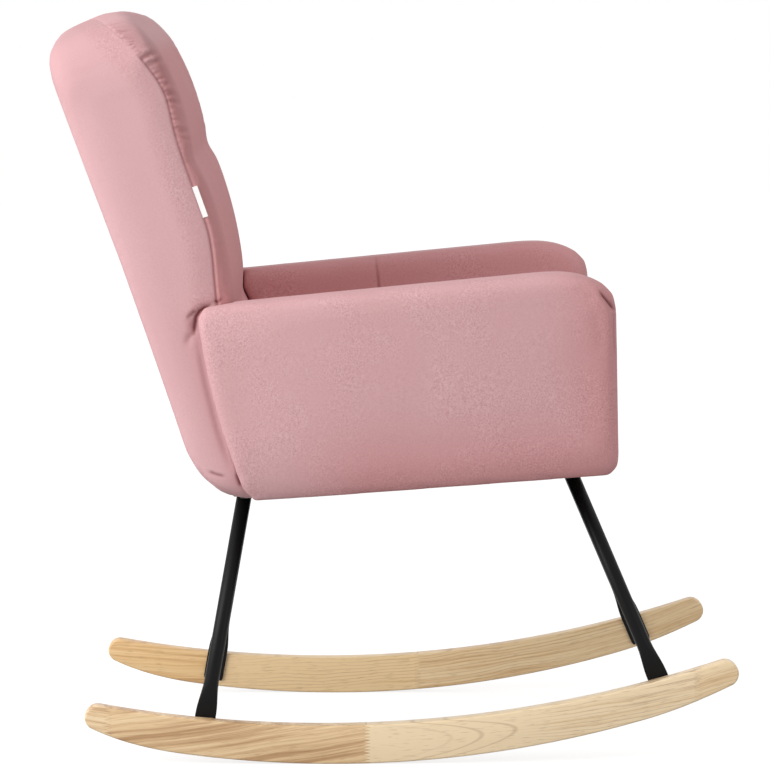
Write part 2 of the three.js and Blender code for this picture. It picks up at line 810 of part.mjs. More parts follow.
// The shell's rear face and sides, up to the seam.
function shellOuterRings(grow = 0) {
  const inner = drawnIn(shellRearEdge, shellRearEdge, shellBottomEdge, 0);
  const rearFace = ({ y }) => shellRearHollow * Math.max(0, 1 - ((2 * y) / backHeight - 1) ** 2) - grow;
  const rounded = roundShares.map((share) => {
    const angle = (share * Math.PI) / 2;
    const depth = (point, edge, normal) => {
      const radius = lerp(shellRearEdge, shellBottomEdge, Math.max(0, -normal.y));
      return rearFace(point) + (share ? radius * (1 - Math.cos(angle)) : 0);
    };
    return { at: (point) => inner(point).lerp(point, Math.sin(angle)), depth };
  });
  return [
    ...rounded,
    { depth: (point) => seamForward(point.y) - seamRoll + grow },
    { at: insetBy(seamRoll), depth: (point) => seamForward(point.y) + grow },
  ];
}

function shellGeometry() {
  const wall = shellWall;
  const raised = (point, normal) => {
    const inner = insetBy(wall)(point, normal);
    return inner.setY(inner.y + shellFloorRise * Math.max(0, -normal.y));
  };
  const rings = [
    ...shellOuterRings(),
    { at: insetBy(wall), depth: (point) => seamForward(point.y) },
    { at: raised, depth: () => wall },
  ];
  const outline = backOutline(0, backBottomCorner);
  const tray = pillow({ outline, across: backAcross, rings, place: placeOnShell });
  const [openingTop, openingBottom] = [wall + shellFloorRise, -cushionDepth * backShear - cutOverrun];
  const opening = [
    onSidePlane(openingBottom, shellSill),
    onSidePlane(openingTop, shellSill),
    onSidePlane(openingTop, cushionDepth),
    onSidePlane(openingBottom, cushionDepth),
  ];
  const openingHalf = stileX + stileThickness + restGap;
  return cut(tray, extrudeSideways(opening, -openingHalf, 2 * openingHalf));
}

// The shell without its hollow, a little larger, to cut what stands against it.
function shellCutter() {
  const outline = backOutline(0, backBottomCorner, restGap);
  const rings = shellOuterRings(restGap);
  return pillow({ outline, across: backAcross, rings, place: placeOnShell });
}

const stileX = railOuter + restGap;
const stileRear = shellWall + restGap;
const stileFront = stileRear + stileDepth;

// The back cushion: a plug between the stiles' fronts and the seam, then the crowned front.
function cushionGeometry(grow = 0) {
  const outline = backOutline(cushionBottom, seatPadEdge, grow);
  const plugDepth = stileFront + restGap - grow;
  const rim = (point) => Math.max(plugDepth, seamForward(point.y) + restGap - grow);
  const bandEnd = (edge, normal) => {
    return seamForward(edge.y) + seamRoll + Math.max(0, normal.y) * cushionTopBand;
  };
  const inner = drawnIn(cushionSideRound, cushionTopRound, cushionSideRound, cushionBottom);
  const rounded = [1 / 6, 1 / 3, 1 / 2, 2 / 3, 5 / 6, 1].map((turn) => {
    const angle = (turn * Math.PI) / 2;
    return {
      at: (point) => point.clone().lerp(inner(point), 1 - Math.cos(angle)),
      depth: (point, edge, normal) => {
        const start = turn < 1 ? bandEnd(edge, normal) : 0;
        return start + (cushionFront(point) - start) * Math.sin(angle) + grow;
      },
    };
  });
  const rings = [
    { at: insetBy(plugMargin), depth: () => plugDepth },
    { at: insetBy(plugMargin), depth: rim },
    { at: insetBy(shellWall), depth: rim },
    { at: insetBy(seamRoll), depth: rim },
    { depth: (point) => seamForward(point.y) + seamRoll },
    { depth: (point, edge, normal) => bandEnd(edge, normal) },
    ...rounded,
  ];
  const place = (point, depth) => placeOnBack(point.x, point.y, depth);
  return pillow({ outline, across: backAcross, rings, place });
}

const backCutters = [shellCutter(), cushionGeometry(restGap), cushionGeometry()];

for (const [word, side] of sides) {
  const boardSlot = extrudeSideways(
    armBoardOutline(restGap, cutOverrun),
    armBoardX - restGap,
    armBoardThickness + 2 * restGap,
  );
  const pad = cut(armPad(), ...backCutters, boardSlot);
  addPiece(chair, `arm_pad_${word}`, sided(pad, side), "velvet");
  const board = extrudeSideways(armBoardOutline(0, 0), armBoardX, armBoardThickness);
  addPiece(chair, `arm_board_${word}`, sided(board, side), "board");
}

addPiece(chair, "back_shell", shellGeometry(), "velvet");
addPiece(chair, "back_cushion", cushionGeometry(), "velvet");

// Stiles stand in the shell beside the side rails, with a rail across their tops.
function onSidePlane(up, forward) {
  const { y, z } = placeOnBack(0, up, forward);
  return new THREE.Vector2(y, z);
}

const stileFoot = (forward) => railLift / Math.cos(backLean - seatTilt) - forward * backShear;
const stileTop = backHeight - stileTopMargin;
const stileHeel = shellSill + restGap;

// Height of the shell's sloping floor inside, which the stiles' heels are notched over.
function shellFloorUp(forward) {
  const lip = seamForward(shellWall);
  const up = shellWall + shellFloorRise * ((lip - forward) / (lip - shellWall));
  return up - forward * backShear * (1 - up / seamBendBottom);
}

const stileOutline = [
  onSidePlane(shellFloorUp(stileRear) + heelGap, stileRear),
  onSidePlane(stileTop, stileRear),
  onSidePlane(stileTop, stileFront),
  onSidePlane(stileFoot(stileFront), stileFront),
  onSidePlane(stileFoot(stileHeel), stileHeel),
  onSidePlane(shellFloorUp(stileHeel) + heelGap, stileHeel),
].reverse();
for (const [word, side] of sides) {
  const stile = extrudeSideways(stileOutline, stileX, stileThickness);
  addPiece(chair, `back_stile_${word}`, sided(stile, side), "board");
}
const topRail = [
  onSidePlane(stileTop - topRailHeight, stileFront),
  onSidePlane(stileTop - topRailHeight, stileFront - crossRailThickness),
  onSidePlane(stileTop, stileFront - crossRailThickness),
  onSidePlane(stileTop, stileFront),
].reverse();
const topRailHalf = stileX - restGap;
addPiece(chair, "back_top_rail", extrudeSideways(topRail, -topRailHalf, 2 * topRailHalf), "board");

// Seat frame, in the deck's frame

const railTop = railLift + railHeight;
const railFront = frontPadThickness + restGap - seatFront;
const intoDeck = deck.matrix.clone().invert();
const onUnderside = (forward) => placeOnShell(new THREE.Vector2(), forward).applyMatrix4(intoDeck).y;
const railRear = onUnderside(stileHeel) - restGap;

function boardBlock(x, y, z) {
  const block = new THREE.BoxGeometry(x[1] - x[0], y[1] - y[0], z[1] - z[0]);
  return block.translate((x[0] + x[1]) / 2, (y[0] + y[1]) / 2, (z[0] + z[1]) / 2);
}

const sideRailX = [railOuter - sideRailWidth, railOuter];
for (const [word, side] of sides) {
  const blank = boardBlock(sideRailX, [railFront, railRear], [railLift, railTop]);
  const bores = legs.flatMap((leg) =>
    plateBoltPlaces(leg).map(([x, y]) => {
      const radius = (plateBoltDiameter / 2 + boltGap) / Math.cos(Math.PI / boreSides);
      const depth = plateBoltLength - plateThickness + cutOverrun;
      const bore = new THREE.CylinderGeometry(radius, radius, depth, boreSides).rotateX(Math.PI / 2);
      return bore.translate(railX + x, leg.plateY + y, railLift + restGap - cutOverrun + depth / 2);
    }),
  );
  addPiece(deck, `seat_rail_${word}`, sided(cut(blank, ...bores), side), "board");
}
const crossHalf = sideRailX[0] - restGap;
const crossRails = { front: railFront, rear: rearRailSetback };
for (const [word, y] of Object.entries(crossRails)) {
  const rail = boardBlock([-crossHalf, crossHalf], [y, y + crossRailThickness], [railLift, railTop]);
  addPiece(deck, `seat_rail_${word}`, rail, "board");
}

// Zigzag springs from the front rail to the rear rail.
class SpringPath extends THREE.Curve {
  constructor(x, from, to, z) {
    super();
    Object.assign(this, { x, from, to, z });
  }

  getPoint(t, target = new THREE.Vector3()) {
    const y = lerp(this.from, this.to, t);
    const waves = Math.round((this.to - this.from) / springPitch);
    const fade = Math.min(1, 4 * waves * t, 4 * waves * (1 - t));
    const swing = (springSwing / 2) * Math.sin(2 * Math.PI * waves * t);
    return target.set(this.x + swing * fade, y, this.z);
  }
}

const springZ = railTop + restGap + springWire / 2;
const wireSection = new THREE.Shape(
  Array.from({ length: 6 }, (_, k) => {
    const angle = (k * Math.PI) / 3;
    return new THREE.Vector2(Math.cos(angle), Math.sin(angle)).multiplyScalar(springWire / 2);
  }),
);
for (let k = 0; k < springCount; k += 1) {
  const x = ((k + 0.5) / springCount - 0.5) * 2 * crossHalf;
  const seat = crossRailThickness / 2;
  const path = new SpringPath(x, railFront + seat, rearRailSetback + seat, springZ);
  const waves = Math.round((rearRailSetback - railFront) / springPitch);
  const steps = waves * springStepsPerWave;
  const wire = new THREE.ExtrudeGeometry(wireSection, { steps, extrudePath: path, bevelEnabled: false });
  addPiece(deck, `seat_spring_${k + 1}`, wire, "zinc");
}

// Seat cushion, on the springs, crowned and drawn in at its sides.
const seatPadBottom = springZ + springWire / 2 + restGap;

const seatSteps = { across: 6, rise: 5, arc: 4 };

function seatPad() {
  const half = seatWidth / 2 - restGap;
  const corner = (x, y) => ({ at: new THREE.Vector2(x, y), before: seatPadCorner, after: seatPadCorner });
  const outline = fourSided(
    [
      corner(-half, -seatFront),
      corner(half, -seatFront),
      corner(half, seatPadRear),
      corner(-half, seatPadRear),
    ],
    seatSteps,
  );
  const length = seatFront + seatPadRear;
  const drawIn = (y) => seatPadDrawIn * (1 - ((2 * (y + seatFront)) / length - 1) ** 2);
  for (const point of outline) point.x -= Math.sign(point.x) * drawIn(point.y);
  const crown = crownOver(outline);
  const top = (point) => seatPadBottom + seatPadThickness + seatPadCrown * crown(point);
  const lowerEdge = seatPadEdge / 4;
  const rings = [
    { at: insetBy(lowerEdge), depth: () => seatPadBottom },
    { depth: () => seatPadBottom + lowerEdge },
    ...roundedRings(seatPadEdge, top, -1).reverse(),
  ];
  const place = (point, depth) => new THREE.Vector3(point.x, point.y, depth);
  return pillow({ outline, across: seatSteps.across, rings, place });
}

const seatCutters = backCutters.map((cutter) => cutter.clone().applyMatrix4(intoDeck));
addPiece(deck, "seat_cushion", cut(seatPad(), ...seatCutters), "velvet");

// Padded panel over the front rail.
const frontPadSteps = { across: 8, rise: 1, arc: 3 };

function frontPad() {
  const half = seatWidth / 2 - restGap;
  const corner = (x, z) => {
    return { at: new THREE.Vector2(x, z), before: frontPadCorner, after: frontPadCorner };
  };
  const top = seatPadBottom - restGap;
  const corners = [corner(-half, 0), corner(half, 0), corner(half, top), corner(-half, top)];
  const outline = fourSided(corners, frontPadSteps);
  const crown = crownOver(outline);
  const face = (point) => seatFront - frontPadCrown * (1 - crown(point));
  const rings = [
    { depth: () => seatFront - frontPadThickness },
    ...roundedRings(frontPadCorner / 2, face, -1).reverse(),
  ];
  const place = (point, depth) => new THREE.Vector3(point.x, -depth, point.y);
  return pillow({ outline, across: frontPadSteps.across, rings, place });
}

addPiece(deck, "seat_front_panel", frontPad(), "velvet");

// Thin lining stapled under the frame, cut away round the leg plates and spread over the stiles' feet.
function liningShape() {
  const half = railOuter - restGap;
  const spread = stileX + stileThickness;
  const spreadFront = onUnderside(seamForward(0));
  const [notchInner, notchOuter] = [-1, 1].map((way) => railX + way * (plateWidth / 2 + 2 * restGap));
  const [front, rear] = [railFront + restGap, railRear - restGap];
  const frontNotch = legs[0].plateY + plateLength / 2 + 2 * restGap;
  const rearNotch = legs[1].plateY - plateLength / 2 - 2 * restGap;
  const right = [
    [notchInner, front],
    [notchInner, frontNotch],
    [half, frontNotch],
    [half, spreadFront],
    [spread, spreadFront],
    [spread, rear],
    [notchOuter, rear],
    [notchOuter, rearNotch],
    [notchInner, rearNotch],
    [notchInner, rear],
  ];
  const left = [...right].reverse().map(([x, y]) => [-x, y]);
  return new THREE.Shape([...right, ...left].map(([x, y]) => new THREE.Vector2(x, y)));
}

const lining = new THREE.ExtrudeGeometry(liningShape(), { depth: coverThickness, bevelEnabled: false });
addPiece(deck, "dust_cover", lining.translate(0, 0, railLift - restGap - coverThickness), "lining");

// Blank label sewn into the side seam, on the sitter's right.
const labelUp = labelTop - labelLength / 2;
const labelBlank = new THREE.BoxGeometry(labelThickness, labelLength, labelWidth);
const labelPlace = new THREE.Matrix4().makeBasis(
  new THREE.Vector3(1, 0, 0),
  new THREE.Vector3(0, Math.sin(backLean), Math.cos(backLean)),
  new THREE.Vector3(0, -Math.cos(backLean), Math.sin(backLean)),
);
const labelX = -backHalfWidth(labelTop - labelLength) - restGap - labelThickness / 2;
labelPlace.setPosition(placeOnBack(labelX, labelUp, seamForward(labelUp) + labelWidth / 2));
addPiece(chair, "seam_label", labelBlank.applyMatrix4(labelPlace), "label");

// Centred over its footprint and standing on the floor.
const bounds = new THREE.Box3().setFromObject(chair, true);
const middle = bounds.getCenter(new THREE.Vector3());
chair.position.set(-middle.x, -middle.y, -bounds.min.z);

export default chair;
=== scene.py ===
# Rocking armchair in rose velvet, on steel legs and two curved wooden rockers.
# Metres, in the frame of the CAD: the front faces -Y, the sitter's left is +X and up is +Z.
import math

import bmesh
import bpy
import numpy as np
from mathutils import Matrix, Vector
from mathutils.kdtree import KDTree


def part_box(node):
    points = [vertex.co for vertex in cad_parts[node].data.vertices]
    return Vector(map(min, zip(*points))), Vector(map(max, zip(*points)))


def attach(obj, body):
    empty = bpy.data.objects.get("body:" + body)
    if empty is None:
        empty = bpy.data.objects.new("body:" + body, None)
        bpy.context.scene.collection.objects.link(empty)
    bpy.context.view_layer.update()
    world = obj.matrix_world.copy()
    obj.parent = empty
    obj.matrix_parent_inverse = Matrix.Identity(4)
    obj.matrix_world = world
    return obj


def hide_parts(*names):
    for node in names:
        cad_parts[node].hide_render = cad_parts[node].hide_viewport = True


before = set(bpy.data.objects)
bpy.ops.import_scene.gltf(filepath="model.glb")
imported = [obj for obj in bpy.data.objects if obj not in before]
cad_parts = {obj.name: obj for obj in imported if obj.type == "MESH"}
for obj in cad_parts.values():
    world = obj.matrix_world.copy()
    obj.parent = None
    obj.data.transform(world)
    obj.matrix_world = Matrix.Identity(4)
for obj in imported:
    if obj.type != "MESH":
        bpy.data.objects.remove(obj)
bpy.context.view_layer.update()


# Rockers: one board of rubberwood each, finger-jointed from four lengths and sawn to a long arc.
# The floor side is round, the top is a flatter arc, the tips are full rounds and all the edges
# are eased. The boards are sanded and finished with a clear satin lacquer.


class Number:
    """A number that varies over a surface. Sums and products of it add Math nodes."""

    def __init__(self, shader, socket):
        self.shader = shader
        self.socket = socket

    def maths(self, operation, *others):
        return self.shader.maths(operation, self, *others)

    def __add__(self, other):
        return self.maths("ADD", other)

    def __sub__(self, other):
        return self.maths("SUBTRACT", other)

    def __mul__(self, other):
        return self.maths("MULTIPLY", other)

    def __truediv__(self, other):
        return self.maths("DIVIDE", other)

    def __rsub__(self, other):
        return self.shader.maths("SUBTRACT", other, self)

    def __rtruediv__(self, other):
        return self.shader.maths("DIVIDE", other, self)

    __radd__ = __add__
    __rmul__ = __mul__


class Tree:
    """A node tree, whose nodes are added with their settings and what goes into their sockets."""

    def __init__(self, tree, prefix="ShaderNode"):
        self.nodes = tree.nodes
        self.links = tree.links
        self.prefix = prefix

    def feed(self, node, socket, value):
        if isinstance(value, Number):
            value = value.socket
        if isinstance(value, bpy.types.NodeSocket):
            self.links.new(value, node.inputs[socket])
        elif isinstance(value, tuple) and node.inputs[socket].type == "RGBA":
            node.inputs[socket].default_value = (*value, 1)
        else:
            node.inputs[socket].default_value = value

    def add(self, kind, settings=None, **values):
        """A node of any kind: its settings first, then the values or links of its sockets."""
        node = self.nodes.new(self.prefix + kind)
        for name, setting in (settings or {}).items():
            if name == "stops":
                ramp = node.color_ramp.elements
                while len(ramp) < len(setting):
                    ramp.new(0.5)
                for stop, (place, colour) in zip(ramp, setting):
                    stop.position = place
                    stop.color = (*colour, 1)
            else:
                setattr(node, name, setting)
        for name, value in values.items():
            self.feed(node, int(name[1:]) if name[1:].isdigit() else name, value)
        return node


class Shader(Tree):
    """The nodes of one material, round its Principled BSDF."""

    def __init__(self, name, **plain):
        self.material = bpy.data.materials.new(name)
        self.material.use_nodes = True
        super().__init__(self.material.node_tree)
        self.principled = self.nodes["Principled BSDF"]
        for socket, value in plain.items():
            self.feed(self.principled, socket.replace("_", " "), value)

    def maths(self, operation, *values):
        node = self.add("Math", {"operation": operation})
        for i, value in enumerate(values):
            self.feed(node, i, value)
        return Number(self, node.outputs[0])

    def place(self):
        return self.add("TexCoord").outputs["Object"]

    def axes(self, place):
        parts = self.add("SeparateXYZ", Vector=place).outputs
        return [Number(self, part) for part in parts]

    def point(self, x, y, z):
        return self.add("CombineXYZ", X=x, Y=y, Z=z).outputs[0]

    def scaled(self, place, scale):
        return self.add("VectorMath", {"operation": "MULTIPLY"}, _0=place, _1=scale).outputs[0]

    def noise(self, place, scale, detail=2.0, roughness=0.5):
        values = {"Vector": place, "Scale": scale, "Detail": detail, "Roughness": roughness}
        return Number(self, self.add("TexNoise", **values).outputs["Fac"])

    def step(self, value, low, high, to_low=0.0, to_high=1.0):
        """Smooth step of a number from one level to another."""
        settings = {"interpolation_type": "SMOOTHSTEP"}
        node = self.add("MapRange", settings, _0=value, _1=low, _2=high, _3=to_low, _4=to_high)
        return Number(self, node.outputs[0])

    def mix(self, share, first, second, blend="MIX"):
        node = self.add("Mix", {"data_type": "RGBA", "blend_type": blend})
        for socket, value in ((0, share), (6, first), (7, second)):
            self.feed(node, socket, value)
        return node.outputs[2]

    def bump(self, height, distance, strength):
        node = self.add("Bump", Height=height, Distance=distance, Strength=strength)
        return node.outputs[0]


ROCKER_SPACING = 0.5
ROCKER_THICKNESS = 0.024
ROCKER_HEIGHT = 0.0504
ROCKER_FLOOR_RADIUS = 1.428
ROCKER_TOP_RADIUS = 1.625
ROCKER_TOP_SHIFT = 0.013
ROCKER_FRONT_REACH = 0.521
ROCKER_BACK_REACH = 0.323
ROCKER_FRONT_NOSE = 0.017
ROCKER_BACK_NOSE = 0.016
ROCKER_FRONT_SWEEP = 0.112
ROCKER_BACK_SWEEP = 0.125
ROCKER_EASED_EDGE = 0.003
SWEEP_LEAN = math.radians(26)
NOSE_STEPS = 22
SWEEP_STEPS = 20
TOP_STEPS = 70
FLOOR_STEPS = 60
EDGE_STEPS = 5
BOARD_CREASE = math.radians(40)

# The chair stands where the floor arcs touch the floor.
stand_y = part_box("rocker_left")[0].y + ROCKER_FRONT_REACH


def arc(centre, radius, start, end, steps):
    angles = np.linspace(start, end, steps)
    return np.stack([centre[0] + radius * np.cos(angles), centre[1] + radius * np.sin(angles)], 1)


def rocker_tip(side, reach, nose, sweep):
    """The rounded tip and the sweep from it down to the floor arc, from the floor upwards."""
    top_centre = Vector((ROCKER_TOP_SHIFT, ROCKER_HEIGHT + ROCKER_TOP_RADIUS))
    y = side * (reach - nose)
    z = top_centre.y - math.sqrt((ROCKER_TOP_RADIUS + nose) ** 2 - (y - top_centre.x) ** 2)
    sweep_angle = SWEEP_LEAN - math.pi / 2 if side > 0 else 1.5 * math.pi - SWEEP_LEAN
    top_angle = math.atan2(top_centre.y - z, top_centre.x - y)
    nose_arc = arc((y, z), nose, sweep_angle, top_angle, NOSE_STEPS)
    floor_angle = side * (reach - sweep) / ROCKER_FLOOR_RADIUS
    start = ROCKER_FLOOR_RADIUS * np.array([math.sin(floor_angle), 1 - math.cos(floor_angle)])
    end = nose_arc[0]
    handle = np.linalg.norm(end - start) / 3
    from_floor = start + side * handle * np.array([math.cos(floor_angle), math.sin(floor_angle)])
    to_nose = end - side * handle * np.array([-math.sin(sweep_angle), math.cos(sweep_angle)])
    t = np.linspace(0, 1, SWEEP_STEPS)[:, None]
    rise = (1 - t) ** 3 * start + 3 * t * (1 - t) ** 2 * from_floor
    rise = rise + 3 * t**2 * (1 - t) * to_nose + t**3 * end
    return np.concatenate([rise, nose_arc[1:]])


def rocker_outline():
    back = rocker_tip(1, ROCKER_BACK_REACH, ROCKER_BACK_NOSE, ROCKER_BACK_SWEEP)
    front = rocker_tip(-1, ROCKER_FRONT_REACH, ROCKER_FRONT_NOSE, ROCKER_FRONT_SWEEP)
    top_centre = np.array([ROCKER_TOP_SHIFT, ROCKER_HEIGHT + ROCKER_TOP_RADIUS])
    from_back, from_front = [math.atan2(*(tip[-1] - top_centre)[::-1]) for tip in (back, front)]
    top = arc(top_centre, ROCKER_TOP_RADIUS, from_back, from_front, TOP_STEPS)
    turns = [math.asin(tip[0][0] / ROCKER_FLOOR_RADIUS) - math.pi / 2 for tip in (front, back)]
    under = arc((0, ROCKER_FLOOR_RADIUS), ROCKER_FLOOR_RADIUS, *turns, FLOOR_STEPS)
    return np.concatenate([under, back[1:], top[1:], front[::-1][1:-1]])


def outline_normals(points):
    along = np.roll(points, -1, 0) - np.roll(points, 1, 0)
    along /= np.linalg.norm(along, axis=1)[:, None]
    return np.stack([along[:, 1], -along[:, 0]], 1)


def new_piece(name, vertices, faces, material, smooth=True):
    mesh = bpy.data.meshes.new(name)
    mesh.from_pydata([tuple(v) for v in vertices], [], faces)
    mesh.materials.append(material)
    mesh.shade_smooth() if smooth else mesh.shade_flat()
    piece = bpy.data.objects.new(name, mesh)
    bpy.context.scene.collection.objects.link(piece)
    return piece


def eased_board(name, outline, low, high, edge, material):
    """A board between two planes of X with its edges rounded over."""
    normals = outline_normals(outline)
    count = len(outline)
    turns = np.linspace(0, math.pi / 2, EDGE_STEPS)
    steps = [(edge * (1 - math.sin(a)), low + edge * (1 - math.cos(a))) for a in turns]
    steps += [(inset, low + high - x) for inset, x in reversed(steps)]
    vertices = []
    for inset, x in steps:
        ring = outline - inset * normals
        vertices += [(x, y, z) for y, z in ring]
    faces = [tuple(reversed(range(count)))]
    for k in range(len(steps) - 1):
        for i in range(count):
            j = (i + 1) % count
            faces.append((k * count + i, k * count + j, (k + 1) * count + j, (k + 1) * count + i))
    faces.append(tuple(range((len(steps) - 1) * count, len(steps) * count)))
    piece = new_piece(name, vertices, faces, material)
    piece.data.set_sharp_from_angle(angle=BOARD_CREASE)
    return piece


# The places of the joints along Y, front to rear, from the point the chair stands on. For each
# length: the slope of its grain, how far it follows the bend of the arc, its tone and its warmth.
STAVE_JOINTS = {"left": (-0.43, -0.116, 0.175), "right": (-0.468, -0.041, 0.293)}
GRAIN_SLOPE = {"left": (0.05, 0.02, 0.06, 0.02), "right": (0.1, -0.02, 0.17, -0.03)}
GRAIN_BEND = {"left": (1.0, 0.9, 0.4, 0.6), "right": (0.6, 0.75, 0.35, 0.6)}
STAVE_TONE = {"left": (0.58, 0.72, 0.92, 0.6), "right": (0.72, 0.84, 0.4, 0.5)}
STAVE_GOLD = {"left": (0.35, 0.3, 0.55, 0.75), "right": (0.1, 0.0, 0.1, 0.0)}
WOOD_PALE = (0.93, 0.735, 0.48)
WOOD_MIDDLE = (0.82, 0.59, 0.34)
WOOD_DARK = (0.52, 0.31, 0.155)
WOOD_LINE = (0.36, 0.19, 0.085)
WOOD_GOLD = (1.0, 0.86, 0.62)
FINGER_DEPTH = 0.009
FINGER_PITCH = 0.0042
FLAME_TIP = -0.231
FLAME_REACH = 0.042
FLAME_HEIGHT = 0.026
RINGS_PER_METRE = 210
FULL_TURN = 6.28


def rocker_wood(side):
    wood = Shader(f"rocker_wood_{side}", Roughness=0.42, Coat_Weight=0.2, Coat_Roughness=0.3)
    x, y, z = wood.axes(wood.place())
    along = y - stand_y
    # Fingers: the joint's place swings to and fro with height.
    finger = wood.maths("PINGPONG", z, FINGER_PITCH / 2) / (FINGER_PITCH / 2)
    fingered = along + FINGER_DEPTH * (finger - 0.5)
    beyond = [wood.step(fingered, place - 0.0003, place + 0.0003) for place in STAVE_JOINTS[side]]

    def by_stave(values):
        rises = [step * (b - a) for step, a, b in zip(beyond, values, values[1:])]
        return sum(rises[1:], rises[0]) + values[0]

    stave = by_stave((0.0, 1.0, 2.0, 3.0))
    bend = along * along * (0.5 / ROCKER_FLOOR_RADIUS)
    height = z - bend * by_stave(GRAIN_BEND[side]) + along * by_stave(GRAIN_SLOPE[side])
    sway = wood.noise(wood.point(stave * 3, along * 5, height * 9), 1.0, 2.0) - 0.5
    height = height + sway * 0.012 + stave * 0.37
    streak = wood.noise(wood.point(x * 30, along * 3.2, height * 150), 1.0, 3.0, 0.62)
    threads = wood.noise(wood.point(x * 90, along * 9, height * 520), 1.0, 2.0, 0.6)
    broad = wood.noise(wood.point(x * 5, along * 2.2, height * 26), 1.0, 2.0)
    flecks = wood.noise(wood.point(x * 500, along * 46, height * 820), 1.0, 1.0)
    pore = wood.step(flecks, 0.6, 0.72)
    tone = by_stave(STAVE_TONE[side]) + (streak - 0.5) * 1.5
    tone = tone + (broad - 0.5) * 0.7 + (threads - 0.5) * 0.7
    stops = [(0.16, WOOD_DARK), (0.5, WOOD_MIDDLE), (0.8, WOOD_PALE)]
    # Growth rings, cut to long lines where the grain runs level. The right board has a length of
    # flames and, ahead of it, one with stripes under its top.
    ring = wood.maths("SINE", (height * RINGS_PER_METRE + sway * 3) * FULL_TURN)
    line = wood.step(ring, 0.55, 1.0) * wood.step(broad, 0.62, 0.4)
    if side == "right":
        from_centre = z - bend - FLAME_HEIGHT
        bow = from_centre * from_centre * 150
        flame = (along - FLAME_TIP - bow + sway * 0.02) / FLAME_REACH
        rim = wood.maths("PINGPONG", flame + 0.5, 0.5) * 2
        flame_part = wood.step(flame, -0.25, -0.1) * (1 - beyond[1])
        flame_line = wood.step(rim, 0.72, 1.0) * wood.step(flame, 2.6, 1.2) * (0.6 + broad)
        plain = wood.step(along, -0.3, -0.22) * (1 - beyond[1])
        tone = tone + plain * (0.16 - (streak - 0.5) * 1.1 - (threads - 0.5) * 0.4)
        line = line * (1 - plain) + flame_line * flame_part
        striped = wood.step(along, -0.35, -0.41) * beyond[0] * wood.step(from_centre, -0.006, 0.0)
        line = line + wood.step(threads, 0.52, 0.4) * striped * 1.6
    shades = wood.add("ValToRGB", {"stops": stops}, Fac=tone).outputs[0]
    colour = wood.mix(line * 0.32, shades, WOOD_LINE)
    colour = wood.mix(pore * 0.34, colour, WOOD_LINE)
    colour = wood.mix(by_stave(STAVE_GOLD[side]), colour, WOOD_GOLD, "MULTIPLY")
    joins = [wood.maths("ABSOLUTE", fingered - place) for place in STAVE_JOINTS[side]]
    join = wood.maths("MINIMUM", wood.maths("MINIMUM", joins[0], joins[1]), joins[2])
    colour = wood.mix(wood.step(join, 0.0012, 0.0002) * 0.32, colour, WOOD_LINE)
    wood.feed(wood.principled, "Base Color", colour)
    wood.feed(wood.principled, "Roughness", 0.46 - 0.1 * streak + pore * 0.2)
    wood.feed(wood.principled, "Normal", wood.bump(streak * 0.5 - pore, 0.0002, 0.5))
    return wood.material


for side, mirror in (("left", 1), ("right", -1)):
    outline = rocker_outline() + np.array([stand_y, 0])
    inner, outer = [ROCKER_SPACING / 2 + ROCKER_THICKNESS * share for share in (-0.5, 0.5)]
    low, high = sorted((mirror * inner, mirror * outer))
    name = f"rocker_board_{side}"
    board = eased_board(name, outline, low, high, ROCKER_EASED_EDGE, rocker_wood(side))
    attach(board, "root")
    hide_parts(f"rocker_{side}")


# Legs: round steel tubes, their lower ends pressed flat, flared and bolted to the rockers' inner
# faces. Each is welded under a steel plate, and both are powder coated satin black.

TUBE_CREASE = math.radians(35)

paint = Shader("satin_black_paint", Base_Color=(0.004, 0.004, 0.0042), Specular_IOR_Level=0.14)
orange_peel = paint.noise(paint.place(), 900, 2.0)
paint.feed(paint.principled, "Roughness", 0.34 + 0.14 * orange_peel)
paint.feed(paint.principled, "Normal", paint.bump(orange_peel, 0.0001, 0.35))


def smooth_copy(node, name, material):
    """A merged copy of a CAD node, smooth up to the angle of a tube's pressed edges."""
    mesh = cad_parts[node].data.copy()
    mesh.name = name
    copy = bmesh.new()
    copy.from_mesh(mesh)
    bmesh.ops.remove_doubles(copy, verts=copy.verts, dist=1e-6)
    copy.to_mesh(mesh)
    copy.free()
    mesh.materials.clear()
    mesh.materials.append(material)
    mesh.shade_smooth()
    mesh.set_sharp_from_angle(angle=TUBE_CREASE)
    piece = bpy.data.objects.new(name, mesh)
    bpy.context.scene.collection.objects.link(piece)
    return piece


def finish_nodes(prefixes, finish):
    """Gives a finish to the CAD's own nodes whose names start with one of the prefixes."""
    for name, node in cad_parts.items():
        if name.startswith(prefixes):
            node.data.materials.clear()
            node.data.materials.append(finish.material)


for side in ("left", "right"):
    for end in ("front", "rear"):
        leg = smooth_copy(f"leg_{end}_{side}", f"tube_{end}_{side}", paint.material)
        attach(leg, "root")
        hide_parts(f"leg_{end}_{side}")
finish_nodes(("leg_plate",), paint)


# Bolts: zinc-plated machine screws hold each foot to threaded inserts in the rocker, and blackened
# screws hold each plate to the frame.

zinc = Shader("zinc_plate", Base_Color=(0.62, 0.63, 0.65), Metallic=1.0)
blotches = zinc.noise(zinc.place(), 260, 3.0)
zinc.feed(zinc.principled, "Roughness", 0.26 + 0.2 * blotches)
blacking = Shader("black_screws", Base_Color=(0.015, 0.015, 0.016), Metallic=0.6)
dulled = blacking.noise(blacking.place(), 400, 2.0)
blacking.feed(blacking.principled, "Roughness", 0.32 + 0.2 * dulled)
finish_nodes(("foot_bolt", "insert"), zinc)
finish_nodes(("plate_bolt",), blacking)


# Frame: bare board, sawn to rails, stiles and arm panels and hidden under the padding. Zigzag springs
# of zinc-plated wire run from the front rail to the rear one and carry the seat cushion.

PLY_PALE = (0.72, 0.54, 0.35)
PLY_DARK = (0.5, 0.34, 0.2)

